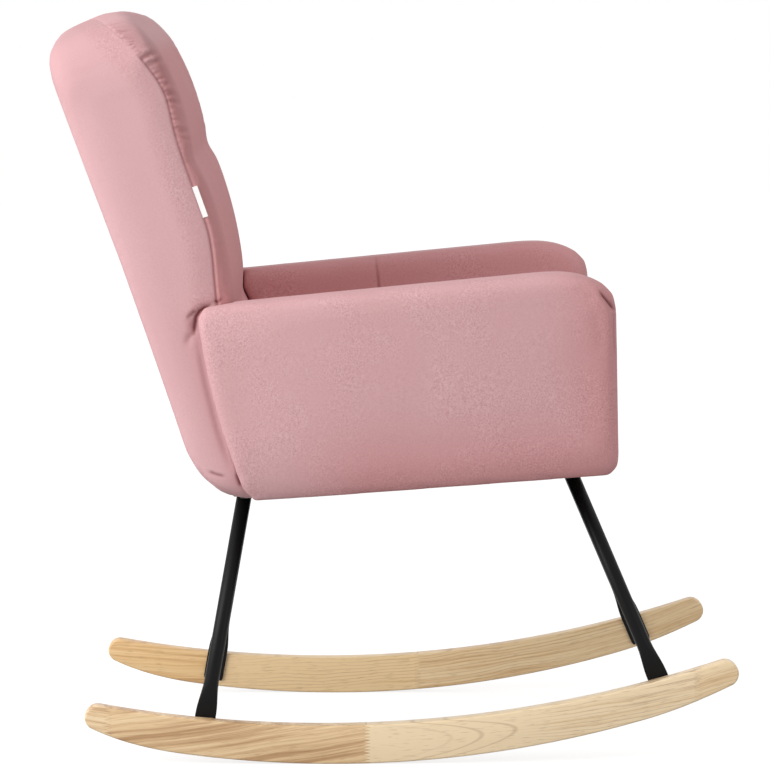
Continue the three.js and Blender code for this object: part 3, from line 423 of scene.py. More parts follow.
plywood = Shader("frame_board", Roughness=0.75)
ply_x, ply_y, ply_z = plywood.axes(plywood.place())
plies = plywood.noise(plywood.point(ply_x * 40, ply_y * 6, ply_z * 160), 1.0, 3.0)
plywood.feed(plywood.principled, "Base Color", plywood.mix(plies, PLY_DARK, PLY_PALE))
finish_nodes(("seat_rail", "arm_board", "back_stile", "back_top"), plywood)
finish_nodes(("seat_spring",), zinc)


# Back: foam and velvet over the rear, the sides and the top of the leaning frame, and a plump front
# drawn in by two channels. Both covers are sewn together along one seam, gathered at the shoulders.

# The velvet of all the padding has a short pile that lies unevenly: a fine grain shows in patches.
# Shade is painted into its colour: a deeper, redder tint where little light falls, darker in creases.
ROSE = (0.65, 0.375, 0.388)
ROSE_PALE = (0.79, 0.517, 0.538)
ROSE_DEEP = (0.44, 0.22, 0.226)
PAINTED_SHADE_ROSE = (0.2, 0.06, 0.06)
PAINTED_SHADE_TINT = (0.96, 0.79, 0.775)

velvet = Shader(
    "rose_velvet",
    Roughness=0.86,
    Specular_IOR_Level=0.12,
    Sheen_Weight=0.06,
    Sheen_Roughness=0.45,
    Sheen_Tint=(1.0, 0.8, 0.82),
)
smooth, nap, fold = [
    Number(velvet, velvet.add("Attribute", {"attribute_name": name}).outputs["Fac"])
    for name in ("smooth", "nap", "fold")
]
velvet_place = velvet.place()
grain = velvet.noise(velvet_place, 460, 2.0, 0.62)
patches = velvet.noise(velvet_place, 13, 3.0, 0.55)
brushed = velvet.noise(velvet.scaled(velvet_place, (1.0, 1.0, 0.45)), 7, 2.0, 0.5)
grained = velvet.step(patches, 0.4, 0.62, 0.35, 1.0) * (1 - 0.75 * smooth)
pale = velvet.step(grain, 0.5, 0.66) * grained * 0.5
# Where the pile lies smooth the tone is also painted paler, as painted light on the shell's side.
pale = pale + velvet.step(brushed, 0.4, 0.7) * 0.12 + smooth * 0.2
velvet_tone = velvet.mix(pale, ROSE, ROSE_PALE)
velvet_tone = velvet.mix(velvet.step(grain, 0.48, 0.32) * grained * 0.4, velvet_tone, ROSE_DEEP)
# Painted shade: a deeper, redder tint where little light falls, read from a point attribute.
velvet_tone = velvet.mix(nap, velvet_tone, PAINTED_SHADE_TINT, "MULTIPLY")
# Painted shade: darker in creases, seams, tucks and gathers, read from a point attribute.
velvet_tone = velvet.mix(fold, velvet_tone, PAINTED_SHADE_ROSE)
velvet.feed(velvet.principled, "Base Color", velvet_tone)
velvet.feed(velvet.principled, "Normal", velvet.bump(grain * grained, 0.0008, 0.35))


COVER_VOXEL = 0.006
COVER_ROUNDS = 6
BLOWING_FRAMES = 20


def baked(piece):
    """Applies the piece's modifiers."""
    depsgraph = bpy.context.evaluated_depsgraph_get()
    mesh = bpy.data.meshes.new_from_object(piece.evaluated_get(depsgraph), depsgraph=depsgraph)
    piece.modifiers.clear()
    old, piece.data = piece.data, mesh
    bpy.data.meshes.remove(old)
    piece.data.name = piece.name
    return piece


def points_of(piece):
    points = np.empty(len(piece.data.vertices) * 3)
    piece.data.vertices.foreach_get("co", points)
    return points.reshape(-1, 3)


def normals_of(piece):
    normals = np.empty(len(piece.data.vertices) * 3)
    piece.data.vertex_normals.foreach_get("vector", normals)
    return normals.reshape(-1, 3)


def move_points(piece, points):
    piece.data.vertices.foreach_set("co", points.ravel())
    piece.data.update()


def relaxed(piece, rounds):
    """Evens out a piece. Each round draws its points together and swells it back to size."""
    ends = np.empty(len(piece.data.edges) * 2, int)
    piece.data.edges.foreach_get("vertices", ends)
    ends = ends.reshape(-1, 2)
    start, end = np.r_[ends, ends[:, ::-1]].T
    points = points_of(piece)
    count = np.maximum(np.bincount(start, minlength=len(points)), 1)[:, None]
    for share in (0.5, -0.53) * rounds:
        near = [np.bincount(start, column[end], minlength=len(points)) for column in points.T]
        points += share * (np.stack(near, 1) / count - points)
    move_points(piece, points)
    return piece


def remeshed(piece, voxel, rounds):
    """An even, smooth mesh over a padded piece."""
    remesh = piece.modifiers.new("even", "REMESH")
    remesh.mode = "VOXEL"
    remesh.voxel_size = voxel
    baked(piece).data.shade_smooth()
    return relaxed(piece, rounds)


def weigh(piece, name, weights):
    """A vertex group with the given weights, in tenths."""
    group = piece.vertex_groups.new(name=name)
    tenths = np.round(weights, 1)
    for share in np.unique(tenths[tenths > 0]):
        group.add(np.nonzero(tenths == share)[0].tolist(), float(share), "REPLACE")
    return group.name


def stuffed(piece, held, pressure, most):
    """Blows the cover up a little against the places where it is held, as stuffing does."""
    start = points_of(piece)
    cloth = piece.modifiers.new("stuffing", "CLOTH")
    cloth.settings.quality = 3
    cloth.settings.mass = 0.3
    cloth.settings.use_pressure = True
    cloth.settings.uniform_pressure_force = pressure
    cloth.settings.effector_weights.gravity = 0
    cloth.settings.vertex_group_mass = weigh(piece, "held", held)
    cloth.settings.tension_stiffness = 30
    cloth.settings.compression_stiffness = 30
    cloth.settings.bending_stiffness = 2
    cloth.collision_settings.use_collision = False
    cloth.point_cache.frame_start = 1
    cloth.point_cache.frame_end = BLOWING_FRAMES
    for step in range(1, BLOWING_FRAMES + 1):
        bpy.context.scene.frame_set(step)
    blown = piece.evaluated_get(bpy.context.evaluated_depsgraph_get()).to_mesh()
    points = np.empty(len(blown.vertices) * 3)
    blown.vertices.foreach_get("co", points)
    moved = points.reshape(-1, 3) - start
    piece.modifiers.clear()
    piece.vertex_groups.clear()
    bpy.context.scene.frame_set(1)
    length = np.linalg.norm(moved, axis=1)[:, None]
    move_points(piece, start + moved * np.minimum(1, most / np.maximum(length, 1e-9)))


def subdivided(piece):
    finer = piece.modifiers.new("finer", "SUBSURF")
    finer.levels = finer.render_levels = 1
    baked(piece).data.shade_smooth()
    return piece


def refined(piece, near):
    """Splits the edges between near points."""
    finer = bmesh.new()
    finer.from_mesh(piece.data)
    edges = [edge for edge in finer.edges if near[edge.verts[0].index] and near[edge.verts[1].index]]
    bmesh.ops.subdivide_edges(finer, edges=edges, cuts=1, use_grid_fill=True)
    bmesh.ops.triangulate(finer, faces=[face for face in finer.faces if len(face.verts) > 4])
    finer.to_mesh(piece.data)
    finer.free()
    piece.data.shade_smooth()
    return piece


def thinned(piece, share, kept):
    """Fewer faces where nothing fine is to come: the kept places keep all of theirs."""
    fewer = piece.modifiers.new("fewer", "DECIMATE")
    fewer.ratio = share
    fewer.vertex_group = weigh(piece, "free", 1 - kept)
    baked(piece).data.shade_smooth()
    piece.vertex_groups.clear()
    return piece


def ease(value, low, high):
    t = np.clip((value - low) / (high - low), 0, 1)
    return t * t * (3 - 2 * t)


def drawn_line(corners, spacing=0.001):
    """Points at an even spacing along a line through the given corners."""
    corners = np.asarray(corners, float)
    lengths = np.r_[0, np.cumsum(np.linalg.norm(np.diff(corners, axis=0), axis=1))]
    places = np.arange(0, lengths[-1], spacing)
    return np.stack([np.interp(places, lengths, column) for column in corners.T], 1)


def near_line(points, line, reach):
    """How far each point is from a line and, for the near ones, how far along it.

    A line of two columns is one seen from the side, at any X.
    """
    if line.shape[1] == 2:
        line = np.c_[np.zeros(len(line)), line]
        points = points * (0, 1, 1)
    tree = KDTree(len(line))
    for i, point in enumerate(line):
        tree.insert(point, i)
    tree.balance()
    away = np.full(len(points), 1.0)
    along = np.zeros(len(points))
    low, high = line.min(0) - reach, line.max(0) + reach
    step = np.linalg.norm(line[1] - line[0])
    for i in np.nonzero(np.all((points > low) & (points < high), axis=1))[0]:
        _, nearest, distance = tree.find(points[i])
        if distance < reach:
            away[i], along[i] = distance, nearest * step
    return away, along


def from_stand(*corners):
    """A line seen from the side, given in millimetres from the point the chair stands on."""
    return drawn_line(np.array(corners) / 1000 + (stand_y, 0))


def beside(points, lines, reach):
    """Which points lie near any of the tucks."""
    return np.any([near_line(points, line[0], reach)[0] < reach for line in lines], axis=0)


def tucks(points, lines):
    """The lift and the painted shade of short tucks: each a line, a width, a depth and a darkness."""
    lift, dark = np.zeros(len(points)), np.zeros(len(points))
    for line, width, depth, darkness in lines:
        away, along = near_line(points, line, 5 * width)
        length = len(line) * np.linalg.norm(line[1] - line[0])
        ends = ease(along, 0, 0.3 * length) * (1 - ease(along, 0.7 * length, length))
        ends = np.maximum(ends, 0.15)
        lift -= depth * trough(away, width) * ends
        dark += darkness * trough(away, width) * ends
    return lift, dark


def marked(piece, name, values):
    """An attribute of the points that the cover's material reads."""
    mark = piece.data.attributes.new(name, "FLOAT", "POINT")
    mark.data.foreach_set("value", np.clip(values, 0, 1).astype(np.float32))


def creased(piece, lift, dark):
    """Moves points along their normals and marks where shade is painted on the cover."""
    move_points(piece, points_of(piece) + normals_of(piece) * lift[:, None])
    marked(piece, "fold", dark)


def roll(inside, reach, drop):
    """How far a rounded edge falls away: nothing from its reach inwards, all of the drop at 0."""
    share = 1 - np.clip(inside / reach, 0, 1)
    return drop * (1 - np.sqrt(1 - share**2))


def trough(away, width):
    return np.exp(-((away / width) ** 2))


BACK_LEAN = math.radians(19.5)
SEAT_TILT = math.radians(4.2)
BACK_HEIGHT = 0.626
BACK_HALF_WIDTH = 0.3
BACK_TAPER = 0.014
BACK_SHOULDER = 0.084
BACK_CROWN = 0.012
BACK_REAR = 0.169
UNDERSIDE = 0.3574
CHANNELS = (0.416, 0.206)
REAR_ROLL = (0.05, 0.02)
SIDE_TURN = 0.034
SEAM_INSET = 0.006
SEAM_FORWARD = 0.125
SEAM_FOOT_DROP = 0.025
SEAM_BEND = (0.197, 0.337)
SEAM_TOP_START = 0.497
SEAM_TOP_DROP = 0.073
SEAM_BULGE = 0.0063
SEAM_BULGE_UP = 0.503
SEAM_BULGE_REACH = 0.04
CUSHION_TURN = 0.3
CUSHION_GAP = 0.001
BACK_MOST_BLOWN = 0.0035
SEAM_START = 0.02
SEAM_STEPS = 60
SHOULDER_STEPS = 12
SEAM_ZONE = 0.05
SEAM_KEPT_ZONE = 0.045
SEAM_FINE_ZONE = 0.018
BACK_FACES_KEPT = 0.42
GROOVE_DEPTH = 0.0016
GROOVE_WIDTH = 0.0018
FOOT_FILL = 0.0025

back_up = np.array([0, math.sin(BACK_LEAN), math.cos(BACK_LEAN)])
back_forward = np.array([0, -math.cos(BACK_LEAN), math.sin(BACK_LEAN)])
back_foot = np.array([0, stand_y + BACK_REAR, UNDERSIDE - BACK_REAR * math.tan(SEAT_TILT)])


def on_back(points):
    """Across, up along the lean, and forward from the rear face."""
    away = points - back_foot
    return points[:, 0], away @ back_up, away @ back_forward


def over_underside(points):
    """Height over the plane of the seat's underside."""
    return points[:, 2] + (points[:, 1] - stand_y) * math.tan(SEAT_TILT) - UNDERSIDE


def seam_forward(up):
    """How far in front of the rear face the side seam lies."""
    top = np.clip((up - SEAM_TOP_START) / (BACK_HEIGHT - SEAM_TOP_START), 0, 1)
    drop = SEAM_TOP_DROP * (1 - np.sqrt(1 - top**2))
    bulge = SEAM_BULGE * trough(up - SEAM_BULGE_UP, SEAM_BULGE_REACH)
    return SEAM_FORWARD - SEAM_FOOT_DROP * (1 - ease(up, *SEAM_BEND)) - drop + bulge


def side_reach(up, forward):
    """How far out the sides of the covers reach: rounded at the rear, turned in to the seam."""
    half = BACK_HALF_WIDTH - BACK_TAPER * up / BACK_HEIGHT
    before = seam_forward(up) - forward
    turned = SEAM_INSET * (1 - np.clip(before / SIDE_TURN, 0, 1)) ** 2
    return half - roll(forward, *REAR_ROLL) - turned - CUSHION_TURN * np.maximum(-before, 0)


def back_seam():
    """The seam from the left foot of the back, over its top, to the right foot."""
    turns = np.linspace(0, math.pi / 2, SHOULDER_STEPS)
    rise = np.linspace(SEAM_START, BACK_HEIGHT - BACK_CROWN - BACK_SHOULDER, SEAM_STEPS)
    half = BACK_HALF_WIDTH - BACK_TAPER * rise / BACK_HEIGHT
    shoulder_x = half[-1] - BACK_SHOULDER * (1 - np.cos(turns))
    shoulder_up = rise[-1] + BACK_SHOULDER * np.sin(turns)
    share = np.linspace(1, 0, SHOULDER_STEPS)[1:]
    top_x = shoulder_x[-1] * share
    top_up = shoulder_up[-1] + BACK_CROWN * (1 - share**2)
    across = np.r_[half, shoulder_x[1:], top_x]
    up = np.r_[rise, shoulder_up[1:], top_up]
    across = np.minimum(across, side_reach(up, seam_forward(up)))
    across, up = np.r_[across, -across[-2::-1]], np.r_[up, up[-2::-1]]
    corners = np.outer(up, back_up) + np.outer(seam_forward(up), back_forward) + back_foot
    corners[:, 0] = across
    return drawn_line(corners)


def both_covers():
    """The shell and the cushion as one piece, the cushion set back to touch the shell."""
    back = smooth_copy("back_shell", "back_cover", velvet.material)
    merged = bmesh.new()
    merged.from_mesh(back.data)
    before = len(merged.verts)
    merged.from_mesh(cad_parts["back_cushion"].data)
    merged.verts.ensure_lookup_table()
    for vertex in merged.verts[before:]:
        vertex.co -= Vector(back_forward) * CUSHION_GAP
    merged.to_mesh(back.data)
    merged.free()
    return back


def past_back_seam(up, forward):
    return forward - seam_forward(np.clip(up, 0, BACK_HEIGHT))


def held_back(points):
    """Where the stuffing can't blow the back up: the shell, the foot, the crown and the channels."""
    across, up, forward = on_back(points)
    held = np.clip(1 - past_back_seam(up, forward) / 0.014, 0, 1)
    held = np.maximum(held, np.clip(1 - (up + forward * 0.27 - 0.02) / 0.03, 0, 1))
    held = np.maximum(held, ease(up, 0.53, 0.58))
    for channel in CHANNELS:
        held = np.maximum(held, np.clip(1.4 - np.abs(up - channel) / 0.01, 0, 1) * (forward > 0.11))
    return held


back = remeshed(both_covers(), COVER_VOXEL, 0)
points = points_of(back)
across, up, forward = on_back(points)
reach = side_reach(np.clip(up, 0, BACK_HEIGHT), forward)
points[:, 0] = np.clip(across, -reach, reach)
move_points(back, points)
remeshed(back, COVER_VOXEL, COVER_ROUNDS)
stuffed(back, held_back(points_of(back)), 4, BACK_MOST_BLOWN)
subdivided(back)

seam = back_seam()
away, along = near_line(points_of(back), seam, SEAM_ZONE)
thinned(back, BACK_FACES_KEPT, np.where(away < SEAM_KEPT_ZONE, 1.0, 0.0))

# Each arm is pushed against the shell's side, which tucks in at the corner and wrinkles below it.
corner_tuck = from_stand(
    (150, 602), (160, 596), (170, 590), (175, 583), (177, 570), (178, 562), (184, 556)
)
arm_edge = from_stand(
    (177, 575), (175, 561), (170, 537), (162, 497), (148, 441), (137, 407), (124, 372)
)
# Each tuck is darkened with painted shade: the corner where the arm meets the shell, the arm's rear
# edge and the wrinkles.
side_tucks = [
    (corner_tuck, 0.002, 0.002, 0.85),
    (corner_tuck, 0.007, 0.003, 0.3),
    (from_stand((172, 591), (179, 588), (184, 583), (187, 578)), 0.0025, 0.0015, 0.45),
    (from_stand((178, 566), (184, 558), (188, 545)), 0.004, 0.0012, 0.15),
    (from_stand((154, 603), (147, 601), (142, 606)), 0.0018, 0.0012, 0.5),
    (arm_edge, 0.0045, 0.0016, 0.14),
    (from_stand((134, 425), (129, 408), (124, 391), (119, 374), (114, 357)), 0.0026, 0.0014, 0.4),
    (from_stand((162, 386), (151, 382), (138, 379)), 0.0019, 0.002, 0.6),
    (from_stand((125, 386), (121, 375), (118, 366)), 0.0026, 0.002, 0.75),
]
points = points_of(back)
away, along = near_line(points, seam, SEAM_ZONE)
sideways = np.abs(points[:, 0]) > 0.25
refined(back, (away < SEAM_FINE_ZONE) | sideways & beside(points, side_tucks, 0.012))

LONG_FOLD_SHARE = 0.3
LONG_FOLD_RUN = (0.022, 0.036)
LONG_FOLD_WIDTH = (0.0026, 0.004)
GATHER_RUN = (0.006, 0.013)
GATHER_WIDTH = (0.0013, 0.0021)
GATHER_SPACING = (0.004, 0.0085)


def gathers(away, along, past_seam, sides):
    """The lift and the painted shade of the gathers that run from the seam onto the cushion.

    They are short and close together at the shoulders, with a few long soft folds between them.
    """
    lift, dark = np.zeros(len(away)), np.zeros(len(away))
    chance = np.random.default_rng(5)
    length = len(seam) * np.linalg.norm(seam[1] - seam[0])
    place = 0.0
    while place < length:
        corner = seam[min(int(place / length * len(seam)), len(seam) - 1)]
        height = on_back(corner[None])[1][0]
        crowd = ease(height, 0.4, 0.5) * (1 - ease(height, 0.606, 0.62))
        long_fold = chance.random() < LONG_FOLD_SHARE
        run = chance.uniform(*(LONG_FOLD_RUN if long_fold else GATHER_RUN))
        width = chance.uniform(*(LONG_FOLD_WIDTH if long_fold else GATHER_WIDTH))
        depth = chance.uniform(0.5, 1.0) * (0.15 + 0.85 * crowd)
        slant = chance.normal(0.3, 0.25)
        if crowd > 0.02 or chance.random() < 0.25:
            close = (np.abs(along - place) < 0.04) & (away < SEAM_ZONE) & (past_seam > -0.002)
            beside_it = np.nonzero(close)[0]
            out = past_seam[beside_it]
            across_it = (along[beside_it] - place) * np.sign(seam[0, 0]) - slant * out
            fade = ease(out, -0.001, 0.002) * (1 - ease(out, 0.35 * run, run)) * sides[beside_it]
            crease = trough(across_it, width) * fade * depth
            ridge = trough(np.abs(across_it) - 2.1 * width, width) * fade * depth
            lift[beside_it] += (0.3 * ridge - 0.6 * crease) * width
            # Painted shade in each crease, less of it on the ridges beside it.
            dark[beside_it] += 0.28 * crease - 0.12 * ridge
        place += chance.uniform(*GATHER_SPACING)
    return lift, dark


points = points_of(back)
across, up, forward = on_back(points)
away, along = near_line(points, seam, SEAM_ZONE)
past_seam = past_back_seam(up, forward)
sides = ease(np.abs(across), 0.2, 0.27)
lift, dark = gathers(away, along, past_seam, sides)
lift = lift - GROOVE_DEPTH * trough(away, GROOVE_WIDTH) * (0.4 + 0.6 * sides)
# Painted shade: a thin dark line along the seam.
dark = dark + 0.55 * trough(away, 0.0013) * sides
# The cushion's side lies in the shade of the seam, more so where it is pulled in.
shade = trough(past_seam - 0.008, 0.024) * ease(past_seam, -0.001, 0.002) * sides
dark = dark + 0.2 * shade * (1 + 0.9 * ease(up, 0.44, 0.56))
# Painted shade on the shell's side near the top, before the seam.
dark = dark + 0.1 * ease(up, 0.5, 0.58) * (1 - ease(past_seam, -0.01, 0.0))
# Low down the seam rolls over to a thin raised edge, painted lighter with less of the painted shade.
piping = trough(past_seam - 0.0035, 0.002) * (1 - ease(up, 0.34, 0.4)) * sides
lift = lift + 0.0009 * piping
dark = dark - 0.2 * piping * ease(past_seam, -0.001, 0.002)
# The crown lies back in front, and the rear face is fuller above than at its heel.
crown = ease(up, 0.56, 0.6)
lift = lift - 0.0026 * ease(forward, 0.095, 0.125) * crown
lift = lift + 0.0022 * trough(forward - 0.07, 0.028) * crown
lift = lift - 0.0024 * trough(forward - 0.008, 0.022) * crown
heel = (1 - ease(over_underside(points), 0.0, 0.08)) * (1 - ease(forward, 0.0, 0.06))
lift = lift - 0.0026 * heel
lift = lift + 0.0012 * (1 - ease(forward, 0.004, 0.012)) * ease(up, 0.3, 0.45)
tuck_lift, tuck_dark = tucks(points, side_tucks)
on_side = np.abs(points[:, 0]) > 0.265
creased(back, lift + tuck_lift * on_side, dark + tuck_dark * on_side)
# Painted shade, deeper and redder, on the cushion past the seam, starting further past it at the crown.
shade_tint_start = past_seam - 0.03 * ease(up, 0.53, 0.6)
marked(back, "nap", ease(shade_tint_start, -0.004, 0.004 + 0.03 * ease(up, 0.5, 0.6)))
# Smooth pile with a fainter grain on the shell's side away from the seam and half of it on the cushion;
# the material also paints these places paler, as painted light.
marked(back, "smooth", np.where(past_seam < 0, 1 - ease(past_seam, -0.042, -0.024), 0.5))
points = points_of(back)
points[:, 2] -= FOOT_FILL * (1 - ease(over_underside(points), 0.004, 0.04))
move_points(back, points)
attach(back, "root")
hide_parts("back_shell")
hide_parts("back_cushion")


# Seat cushion: foam on the springs, in a boxed velvet cover held at its lower edge. Its rear is
# pushed in under the foot of the back cushion.

SEAT_TUCK = 0.018
SEAT_TUCK_REACH = 0.03
SEAT_HELD_HEIGHT = 0.05
SEAT_MOST_BLOWN = 0.006

seat = smooth_copy("seat_cushion", "seat_pad", velvet.material)
points = points_of(seat)
seat_rear = points[:, 1].max()
points[:, 1] += SEAT_TUCK * ease(points[:, 1], seat_rear - SEAT_TUCK_REACH, seat_rear)
move_points(seat, points)
remeshed(seat, COVER_VOXEL, COVER_ROUNDS)
seat_held = np.clip(1 - (over_underside(points_of(seat)) - SEAT_HELD_HEIGHT) / 0.02, 0, 1)
stuffed(seat, seat_held, 4, SEAT_MOST_BLOWN)
subdivided(seat)
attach(seat, "root")
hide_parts("seat_cushion")


# Front panel: thin padding and velvet wrapped over the front rail and tacked under it, between the
# arms and below the seat cushion.

PANEL_VOXEL = 0.003
PANEL_ROUNDS = 3

panel = smooth_copy("seat_front_panel", "seat_front_cover", velvet.material)
remeshed(panel, PANEL_VOXEL, PANEL_ROUNDS)
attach(panel, "root")
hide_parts("seat_front_panel")


# Arms: padded panels over a board, pushed against the sides of the back. The outer face is one panel
# that swells out of its edges, with a seam round its front and a pleat at the front of the top. A
# seam crosses the inner face.

ARM_FRONT = 0.361
ARM_REAR_TOP = (0.176, 0.597)
ARM_REAR_FOOT = (0.112, 0.349)
ARM_TOP = ((-0.267, 0.639), ARM_REAR_TOP)
ARM_UNDERSIDE = ((-0.361, 0.3839), ARM_REAR_FOOT)
# How far in the rounded edges reach and how far they fall: underside, front, rear and top.
ARM_ROLLS = ((0.085, 0.024), (0.06, 0.02), (0.014, 0.007), (0.055, 0.017))
ARM_REAR_SLOPE = (0.16, 0.01)
ARM_REAR_BULGE = 0.009
ARM_BULGE_FOOT = 0.35
ARM_BULGE_HEIGHT = 0.25
ARM_UNDERSIDE_DROP = 0.0004
ARM_HELD_EDGE = 0.012
ARM_HELD_FADE = 0.04
ARM_MOST_BLOWN = 0.0025


def inside_edge(points, start, end):
    """How far points lie inside a straight edge of the arm, seen from the side."""
    (y0, z0), (y1, z1) = start, end
    length = math.hypot(y1 - y0, z1 - z0)
    y, z = points[:, 1] - stand_y - y0, points[:, 2] - z0
    return (z * (y1 - y0) - y * (z1 - z0)) / length


def inside_arm(points):
    """How far points lie inside the underside, the front, the rear and the top of the arm."""
    return (
        inside_edge(points, *ARM_UNDERSIDE),
        points[:, 1] - stand_y + ARM_FRONT,
        inside_edge(points, ARM_REAR_FOOT, ARM_REAR_TOP),
        -inside_edge(points, *ARM_TOP),
    )


def levelled(piece, height):
    """Draws an underside onto its plane, given the height of each point over it."""
    down = ease(-normals_of(piece)[:, 2], 0.7, 0.95)
    near = 1 - ease(np.abs(height), 0.004, 0.008)
    points = points_of(piece)
    points[:, 2] -= height * down * near
    move_points(piece, points)


pleat = from_stand((-331, 621), (-337, 615), (-343, 608), (-351, 598), (-357, 590))
front_seam = from_stand((-350, 602), (-352, 591), (-352, 577), (-353, 552), (-355, 530))
# Painted shade darkens the pleat, the front seam, two soft hollows by the front and the seam across the
# inner face.
arm_tucks = [
    (pleat, 0.0018, 0.0022, 0.8),
    (pleat, 0.006, 0.0016, 0.2),
    (front_seam, 0.0016, 0.0006, 0.3),
    (from_stand((-300, 628), (-318, 618), (-330, 604)), 0.008, 0.001, 0.05),
    (from_stand((-325, 600), (-332, 570), (-335, 530)), 0.009, 0.001, 0.05),
]
inner_seam = [(from_stand((-54, 640), (-62, 560), (-68, 450)), 0.002, 0.0016, 0.45)]

for side, mirror in (("left", 1), ("right", -1)):
    arm = smooth_copy(f"arm_pad_{side}", f"arm_cover_{side}", velvet.material)
    remeshed(arm, COVER_VOXEL, 0)
    points = points_of(arm)
    face = np.abs(points[:, 0]).max()
    inside = inside_arm(points)
    falls = [roll(np.maximum(far, 0), *size) for far, size in zip(inside, ARM_ROLLS)]
    from_underside, from_rear = inside[0], inside[2]
    reach, drop = ARM_REAR_SLOPE
    fall = np.sqrt(sum(one**2 for one in falls))
    fall = fall + drop * (1 - np.clip(from_rear / reach, 0, 1)) ** 2
    points[:, 0] = mirror * np.minimum(mirror * points[:, 0], face - fall)
    # The rear edge is cut to a bow, and the stuffing fills the lower edge.
    height = np.clip((points[:, 2] - ARM_BULGE_FOOT) / ARM_BULGE_HEIGHT, 0, 1)
    outside = ease(np.abs(points[:, 0]), 0.3, 0.305) * (1 - ease(from_rear, 0, 0.09))
    points[:, 1] += ARM_REAR_BULGE * np.sin(math.pi * height) * outside
    points[:, 2] -= ARM_UNDERSIDE_DROP * (1 - ease(from_underside, 0, 0.05))
    move_points(arm, points)
    remeshed(arm, COVER_VOXEL, COVER_ROUNDS)
    levelled(arm, inside_edge(points_of(arm), *ARM_UNDERSIDE) + ARM_UNDERSIDE_DROP)
    from_edge = np.min(inside_arm(points_of(arm)), axis=0)
    arm_held = np.clip(1 - (from_edge - ARM_HELD_EDGE) / ARM_HELD_FADE, 0, 1)
    stuffed(arm, arm_held, 2, ARM_MOST_BLOWN)
    subdivided(arm)
    refined(arm, beside(points_of(arm), arm_tucks + inner_seam, 0.01))
    points = points_of(arm)
    outer = ease(np.abs(points[:, 0]), 0.295, 0.315)
    inner = np.abs(points[:, 0]) < 0.275
    outer_lift, outer_dark = tucks(points, arm_tucks)
    inner_lift, inner_dark = tucks(points, inner_seam)
    creased(arm, outer_lift * outer + inner_lift * inner, outer_dark * outer + inner_dark * inner)
    # Painted shade, deeper and redder, low down at the rear, round the front and on the inner face.
    from_underside, from_front = inside_arm(points)[:2]
    low = (1 - ease(from_underside, 0.0, 0.12)) * (1 - ease(from_front, 0.301, 0.451))
    fore = 1 - ease(from_front, 0.0, 0.11)
    marked(arm, "nap", np.maximum(np.maximum(low, fore), inner))
    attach(arm, "root")
    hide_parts(f"arm_pad_{side}")


# Dust cover: thin black non-woven cloth that closes the frame from below. It is cut out round the leg
# plates and stapled to the rails.

lining = Shader("black_lining", Base_Color=(0.02, 0.02, 0.021), Roughness=0.95)
weave = lining.noise(lining.place(), 1800, 1.0)
lining.feed(lining.principled, "Normal", lining.bump(weave, 0.0003, 0.6))
finish_nodes(("dust_cover",), lining)


# Staples: zinc-plated wire staples, shot through the edges of the dust cover into the rails by hand,
# at even steps and a little out of line.

STAPLE_WIDTH = 0.0115
STAPLE_WIRE = 0.0011
STAPLE_SPACING = 0.038
STAPLE_TURN = 0.2
STAPLE_INSET = 0.008
SIDE_ROW_INSET = 0.085
STAPLE_INPUTS = {
    "Path": "NodeSocketGeometry",
    "Spacing": "NodeSocketFloat",
    "Width": "NodeSocketFloat",
    "Wire": "NodeSocketFloat",
    "Finish": "NodeSocketMaterial",
}


def staple_tree():
    """Sets a staple at even steps along each edge of a path. Also gives its inputs' identifiers."""
    group = bpy.data.node_groups.new("staple_row", "GeometryNodeTree")
    sockets = {}
    for name, kind in STAPLE_INPUTS.items():
        socket = group.interface.new_socket(name, in_out="INPUT", socket_type=kind)
        sockets[name] = socket.identifier
    group.interface.new_socket("Staples", in_out="OUTPUT", socket_type="NodeSocketGeometry")
    tree = Tree(group, prefix="")
    given = tree.add("NodeGroupInput").outputs
    path = tree.add("GeometryNodeMeshToCurve", Mesh=given["Path"]).outputs[0]
    steps = {"Curve": path, "Length": given["Spacing"]}
    row = tree.add("GeometryNodeCurveToPoints", {"mode": "LENGTH"}, **steps).outputs
    sides = {"X": given["Wire"], "Y": given["Wire"], "Z": given["Width"]}
    size = tree.add("ShaderNodeCombineXYZ", **sides).outputs[0]
    wire = tree.add("GeometryNodeMeshCube", Size=size).outputs["Mesh"]
    sources = {"Points": row["Points"], "Instance": wire, "Rotation": row["Rotation"]}
    placed = tree.add("GeometryNodeInstanceOnPoints", **sources).outputs[0]
    turns = {"Min": (0, -STAPLE_TURN, 0), "Max": (0, STAPLE_TURN, 0), "Seed": 3}
    turn = tree.add("FunctionNodeRandomValue", {"data_type": "FLOAT_VECTOR"}, **turns).outputs[0]
    turned = tree.add("GeometryNodeRotateInstances", Instances=placed, Rotation=turn).outputs[0]
    real = tree.add("GeometryNodeRealizeInstances", Geometry=turned).outputs[0]
    sources = {"Geometry": real, "Material": given["Finish"]}
    finished = tree.add("GeometryNodeSetMaterial", **sources).outputs[0]
    tree.add("NodeGroupOutput", Staples=finished)
    return group, sockets


